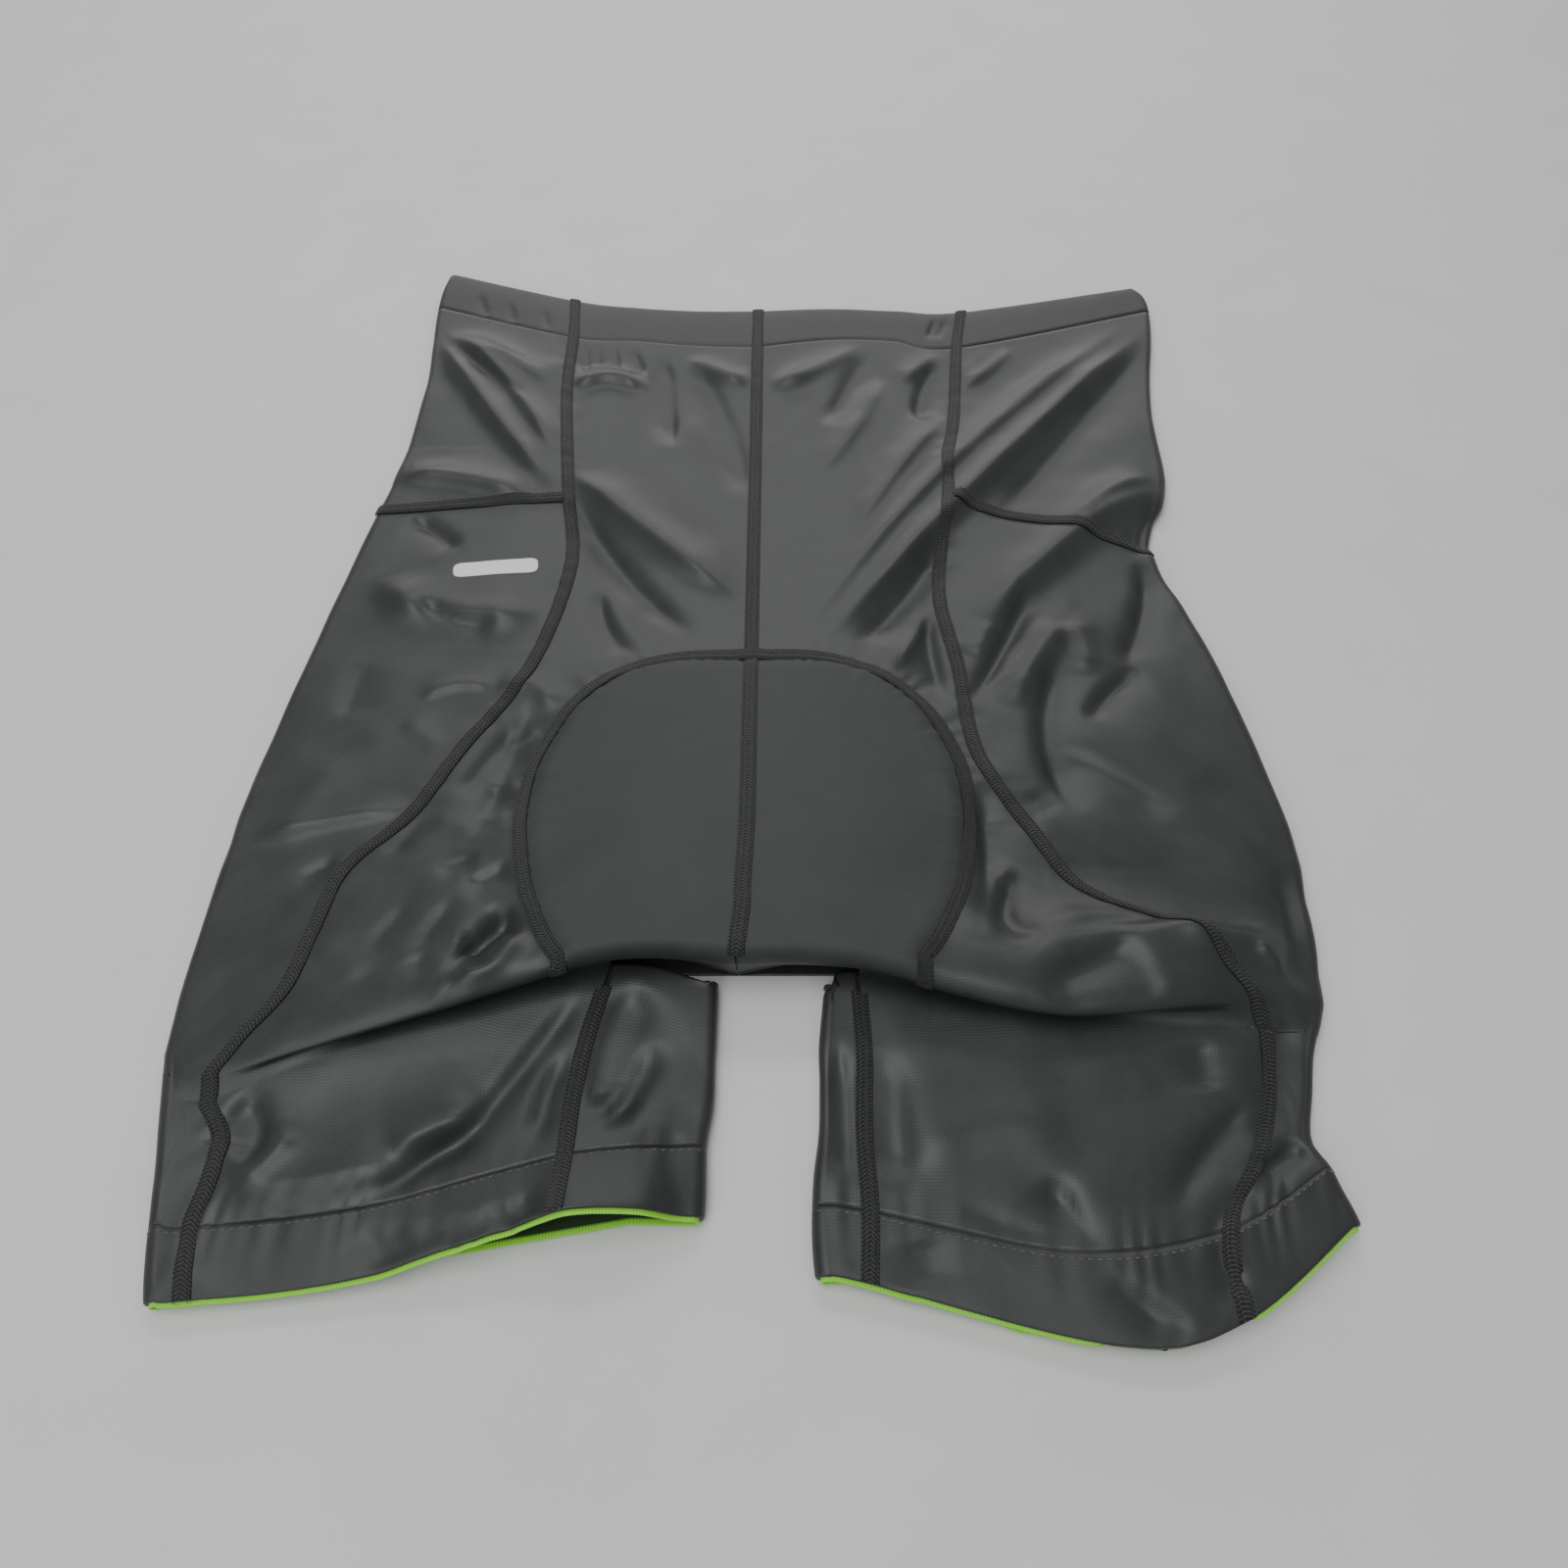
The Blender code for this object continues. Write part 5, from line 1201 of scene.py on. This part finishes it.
def looper_thread(node, place, across, out, height):
    """The looper's thread, zigzagging between the two needle rows."""
    name = node + "_looper_thread"
    way = np.where(np.arange(len(place)) % 2 == 0, 1.0, -1.0)[:, None]
    points = place + across * way * LOOPER_REACH + out * height
    curve = bpy.data.curves.new(name, "CURVE")
    curve.dimensions = "3D"
    curve.bevel_depth = LOOPER_RADIUS * MM
    curve.bevel_resolution = 0
    curve.use_fill_caps = True
    spline = curve.splines.new("POLY")
    spline.points.add(len(points) - 1)
    flat = np.column_stack([(points + SHIFT) * MM, np.ones(len(points))])
    spline.points.foreach_set("co", flat.ravel())
    piece = bpy.data.objects.new(name, curve)
    scene.collection.objects.link(piece)
    bpy.ops.object.select_all(action="DESELECT")
    piece.select_set(True)
    bpy.context.view_layer.objects.active = piece
    bpy.ops.object.convert(target="MESH")
    return finish_piece(bpy.context.object, node, finishes["thread"], replaces=False)


def cover_seam(name, points, beside, normals, lift=0.0):
    """A flat seam: its band, two needle rows and the looper's zigzag."""
    place, across, out = seam_frame(points, beside, normals)
    band = seam_band(name, place, across, out, lift)
    rows = stitch_rows(name + "_needle_stitches", name, place, across, out, (-NEEDLE_ROW, NEEDLE_ROW),
                       lift + STITCH_HEIGHT, STITCH_PITCH)
    return [band, rows, looper_thread(name, place, across, out, lift + LOOPER_HEIGHT)]


def column_seam(name, half, seam, rows):
    """A seam along a column of one half's grid."""
    column = half.col(seam)
    beside = half.points[rows, column + 1] - half.points[rows, column - 1]
    return cover_seam(name, half.points[rows, column], beside, half.normals[rows, column])


def yoke_seam(name, half):
    """The seam between hip and side panels, from the side-back seam to the outer edge."""
    row = half.row["yoke"]
    columns = slice(half.col(SIDE), half.col(EDGE) + YOKE_WRAP)
    points = half.points[row, columns]
    start = np.searchsorted(lengths(points)[1:], BAND_WIDTH / 2.0 + YOKE_CLEAR)
    beside = half.points[row + 1, columns] - half.points[row - 1, columns]
    return cover_seam(name, points[start:], beside[start:], half.normals[row, columns][start:], YOKE_LIFT)


def seat_surface(halves):
    """Search tree over the seat's cloth."""
    points = []
    faces = []
    for half in halves:
        rows = half.row["under"] + 1
        grid = half.points[:rows, half.first:half.col(EDGE)]
        start = len(points)
        columns = grid.shape[1]
        points += grid.reshape(-1, 3).tolist()
        for row in range(rows - 1):
            for column in range(columns - 1):
                corner = start + row * columns + column
                faces.append((corner, corner + 1, corner + columns + 1, corner + columns))
    return BVHTree.FromPolygons(points, faces)


def on_cloth(x, y):
    """Place and direction of the seat's cloth over a plan point, or None beside it."""
    place, normal, _, _ = seat.ray_cast(Vector((x, y, 100.0)), Vector((0.0, 0.0, -1.0)))
    if place is None:
        return None
    facing = np.array(normal)
    return np.array(place), facing if facing[2] > 0 else -facing


def round_the_lip(place):
    """Places and directions that carry a line on to the brow of the seat lip and down its front."""
    found = []
    for _ in range(STEPS_TO_BROW):
        ahead = on_cloth(place[0], place[1] - BROW_STEP)
        if ahead is None or place[2] - ahead[0][2] > BROW_DROP:
            break
        found.append(ahead)
        place = ahead[0]
    for drop in LIP_DROPS:
        near, normal, _, _ = seat.find_nearest(Vector((place[0], place[1] - LIP_AHEAD, place[2] - drop)))
        facing = np.array(normal)
        found.append((np.array(near), facing if facing[1] < 0 else -facing))
    return found


def pad_seam():
    """The horseshoe seam that holds the seat pad, riding over the centre-back seam."""
    line = horseshoe_line(np.linspace(0.0, 1.0, PAD_SEAM_POINTS))
    found = [on_cloth(x, y) for x, y in line]
    found = round_the_lip(found[0][0])[::-1] + found + round_the_lip(found[-1][0])
    points = np.array([place for place, _ in found])
    normals = unit(smooth_along(np.array([facing for _, facing in found]), 4))
    points[:, 2] = smooth_along(points[:, 2:], 3)[:, 0]
    points[:, 2] += CROSSING_LIFT * np.exp(-((points[:, 0] - CENTRE_BACK) / CROSSING_WIDTH)**4)
    beside = np.cross(normals, np.gradient(points, axis=0))
    return cover_seam("seam_pad", points, beside, normals, PAD_SEAM_LIFT)


def seat_pad():
    """The stitched-in pad under the seat: a crowned foam form, which ends short of the seat lip."""
    around = horseshoe_line(np.linspace(0.0, 1.0, 61), FOAM_INSET)
    around = around[around[:, 1] > FOAM_FRONT + 2.0]
    across = np.linspace(around[-1, 0], around[0, 0], 26)[1:-1]
    outline = np.vstack([around, np.column_stack([across, np.full(len(across), FOAM_FRONT)])])
    middle = np.array([HORSESHOE_MIDDLE, PAD_MIDDLE])
    rings = []
    for share in np.linspace(FOAM_MIDDLE, 1.0, FOAM_RINGS):
        ring = middle + (outline - middle) * share
        cloth = np.array([on_cloth(x, y)[0][2] for x, y in ring])
        top = cloth - KNIT_WALL - FOAM_GAP - FOAM_EDGE_FALL * share**FOAM_EDGE_POWER
        rings.append(np.column_stack([ring, top]))
    for share, height in FOAM_UNDERSIDE:
        ring = middle + (outline - middle) * share
        heights = np.minimum(height, top) if share == 1.0 else np.full(len(ring), height)
        rings.append(np.column_stack([ring, heights]))
    grid = np.array(rings)
    grid = np.concatenate([grid, grid[:, :1]], axis=1)
    piece = cloth_grid("seat_pad_foam", grid, merge=True)
    bpy.context.view_layer.objects.active = piece
    bpy.ops.object.mode_set(mode="EDIT")
    bpy.ops.mesh.select_all(action="DESELECT")
    bpy.ops.mesh.select_mode(type="EDGE")
    bpy.ops.mesh.select_non_manifold()
    bpy.ops.mesh.edge_face_add()
    bpy.ops.object.mode_set(mode="OBJECT")
    face_outwards(piece)
    finish_piece(piece, "seat_pad", finishes["foam"])
    return piece


def reflective_bar():
    """A plain bar of pressed reflective film on the left side panel."""
    centre = np.array([-121.5, 47.7])
    long_way = np.array([math.cos(0.12), math.sin(0.12)])
    short_way = np.array([-long_way[1], long_way[0]])
    half_long, half_short, corner = 19.0, 4.5, 3.0
    columns = np.linspace(-1.0, 1.0, 41)
    rows = np.linspace(1.0, -1.0, 13)
    grid = np.zeros((len(rows), len(columns), 3))
    for row, up in enumerate(rows):
        inset = corner * (1.0 - math.sqrt(max(0.0, 1.0 - abs(up)**3)))
        for column, along in enumerate(columns):
            spot = centre + long_way * along * (half_long - inset) + short_way * up * half_short
            place, facing = on_cloth(*spot)
            grid[row, column] = place + facing * 0.22
    piece = cloth_grid("side_left_reflective_bar", grid)
    give_thickness(piece, 0.15)
    return finish_piece(piece, "side_left", finishes["film"], replaces=False)


def band_stitching(node, ring, facing, row_share):
    """A line of stitches round a turned band, on its face, as far as that looks up."""
    row = int(round(row_share * (len(ring) - 1)))
    points, normals = ring[row], facing[row]
    under = points[:, 2] < UNDERSIDE
    order = np.roll(np.arange(len(points)), -int(np.argmax(under)))
    order = order[~under[order]]
    points, normals = points[order], normals[order]
    beside = np.cross(normals, np.gradient(points, axis=0))
    place, across, out = seam_frame(points, beside, normals)
    return stitch_rows(node + "_stitching", node, place, across, out, (0.0,), CASING_STITCH_HEIGHT,
                       CASING_STITCH_PITCH)


def area_light(name, place, aim, size, power, colour):
    """A soft box light."""
    light = bpy.data.lights.new(name, "AREA")
    light.shape = "RECTANGLE"
    light.size, light.size_y = size
    light.energy = power
    light.color = colour
    holder = bpy.data.objects.new(name, light)
    holder.location = place
    holder.rotation_euler = (Vector(aim) - Vector(place)).to_track_quat("-Z", "Y").to_euler()
    scene.collection.objects.link(holder)


finishes = {
    # Nylon and elastane, warp-knitted and dyed: near black, with a satin light along each fold.
    "knit": knit_finish("warp_knit_nylon_elastane_black", "#252727", "#353737", 0.37),
    # The same knit turned double: a little darker and duller.
    "band": knit_finish("warp_knit_turned_band_black", "#222424", "#313333", 0.42),
    # Cover-stitched seam: matte, with slanting threads over darker gaps.
    "seam": seam_finish("cover_stitched_seam_black", "#090a0a", "#3c3e3e"),
    # Spun polyester, faded by washing: matte grey dashes that stand out from the black.
    "thread": thread_finish("spun_polyester_thread_faded_black", "#343534", "#72746f"),
    # Woven elastic, dyed lime: bright and matte, finely ribbed, with a dark net inside.
    "tape": tape_finish(),
    # Polyurethane foam, brushed: matte grey, and out of sight under the seat.
    "foam": speckled_finish("brushed_pad_foam_grey", "#4c4d50", "#5c5d60", 0.9, 1.2, 0.3),
    # Reflective film, pressed on: smooth and pale, with faint specks.
    "film": speckled_finish("pressed_reflective_film_white", "#d9dbdb", "#eceeee", 0.42, 0.8, 0.05),
    # Painted floor: matte and pale, so that the black cloth stands out.
    "floor": speckled_finish("matte_painted_floor_pale", "#dadad8", "#e2e2e0", 0.85, 40.0, 0.02),
}
one_stitch_shape = one_stitch()
left = Half(LEFT_SECTIONS, mirror=False)
right = Half(RIGHT_SECTIONS, mirror=True)
share_centre_normals(left, right)
seat = seat_surface((left, right))
extras = {}

ring, facing = waist_ring(left, right)
turned_band("waistband", ring, facing, CASING_WALL, CASING_CROWN)
extras["waistband"] = [band_stitching("waistband", ring, facing, CASING_STITCH_ROW)]
for side, half in (("left", left), ("right", right)):
    row = half.row
    to_yoke = slice(row["band line"], row["yoke"] + 1)
    below_yoke = slice(row["yoke"], row["hem line"] + 1)
    leg = slice(row["out"], row["hem line"] + 1)
    outer = slice(half.col(SIDE), half.points.shape[1])
    back_panel(side, half)
    panel("hip_" + side, half, to_yoke, outer)
    panel("side_" + side, half, below_yoke, outer)
    panel("inner_" + side, half, leg, slice(0, half.col(INNER) + 1))
    front_panel(side, half)
    ring, facing = hem_ring(half)
    turned_band("hem_" + side, ring, facing, HEM_WALL, HEM_CROWN)
    gripper_tape(side, ring, facing)
    extras["hem_" + side] = [band_stitching("hem_" + side, ring, facing, HEM_STITCH_ROW)]
    extras["back_" + side] = column_seam("seam_side_" + side, half, SIDE, slice(0, row["hem"] + 1))
    extras["inner_" + side] = column_seam("seam_inner_" + side, half, INNER,
                                          slice(row["leg start"], row["hem"] + 1))
    extras["side_" + side] = yoke_seam("seam_yoke_" + side, half)
extras["side_left"].append(reflective_bar())
rows = slice(0, left.row["upper"] + 1)
beside = right.points[rows, right.first + 1] - left.points[rows, left.first + 1]
extras["back_left"] += cover_seam("seam_centre_back", left.points[rows, left.first], beside,
                                  left.normals[rows, left.first])
extras["back_right"] += pad_seam()
seat_pad()

bpy.ops.object.select_all(action="DESELECT")
bpy.ops.mesh.primitive_plane_add(size=8.0)
floor = bpy.context.object
floor.name = "floor"
floor.data.materials.append(finishes["floor"])

world = scene.world or bpy.data.worlds.new("studio")
scene.world = world
world.use_nodes = True
world.node_tree.nodes["Background"].inputs["Color"].default_value = (0.97, 0.98, 1.0, 1.0)
world.node_tree.nodes["Background"].inputs["Strength"].default_value = 0.32

# The columns are the light, its place and aim in metres, its size, its power in watts and its colour.
LIGHTS = (
    ("key_from_the_waist_side", (0.0, 1.5, 0.36), (0.0, 0.0, 0.0), (1.7, 0.2), 5.5, (1.0, 0.99, 0.97)),
    ("high_behind_the_waist", (0.0, 0.9, 0.95), (0.0, -0.2, 0.0), (1.2, 0.2), 4.0, (1.0, 1.0, 1.0)),
    ("overhead", (-0.28, -0.2, 1.5), (0.0, 0.0, 0.0), (1.2, 0.6), 10.0, (1.0, 1.0, 1.0)),
    ("fill_from_the_hem_side", (-0.6, -1.0, 0.9), (0.0, 0.0, 0.0), (0.8, 0.8), 4.0, (0.98, 0.99, 1.0)),
)
for light in LIGHTS:
    area_light(*light)

FOCUS = np.array([9.0, -63.0, 0.0]) + SHIFT     # the floor point in the middle of the picture
CAMERA_DISTANCE = 480.0
CAMERA_PITCH = math.radians(57.0)
lens = bpy.data.cameras.new("camera")
lens.lens = 27.0
lens.sensor_width = 36.0
lens.clip_start = 0.01
camera = bpy.data.objects.new("camera", lens)
away = np.array([0.0, -math.cos(CAMERA_PITCH), math.sin(CAMERA_PITCH)]) * CAMERA_DISTANCE
camera.location = (FOCUS + away) * MM
camera.rotation_euler = (math.pi / 2.0 - CAMERA_PITCH, 0.0, 0.0)
scene.collection.objects.link(camera)
scene.camera = camera
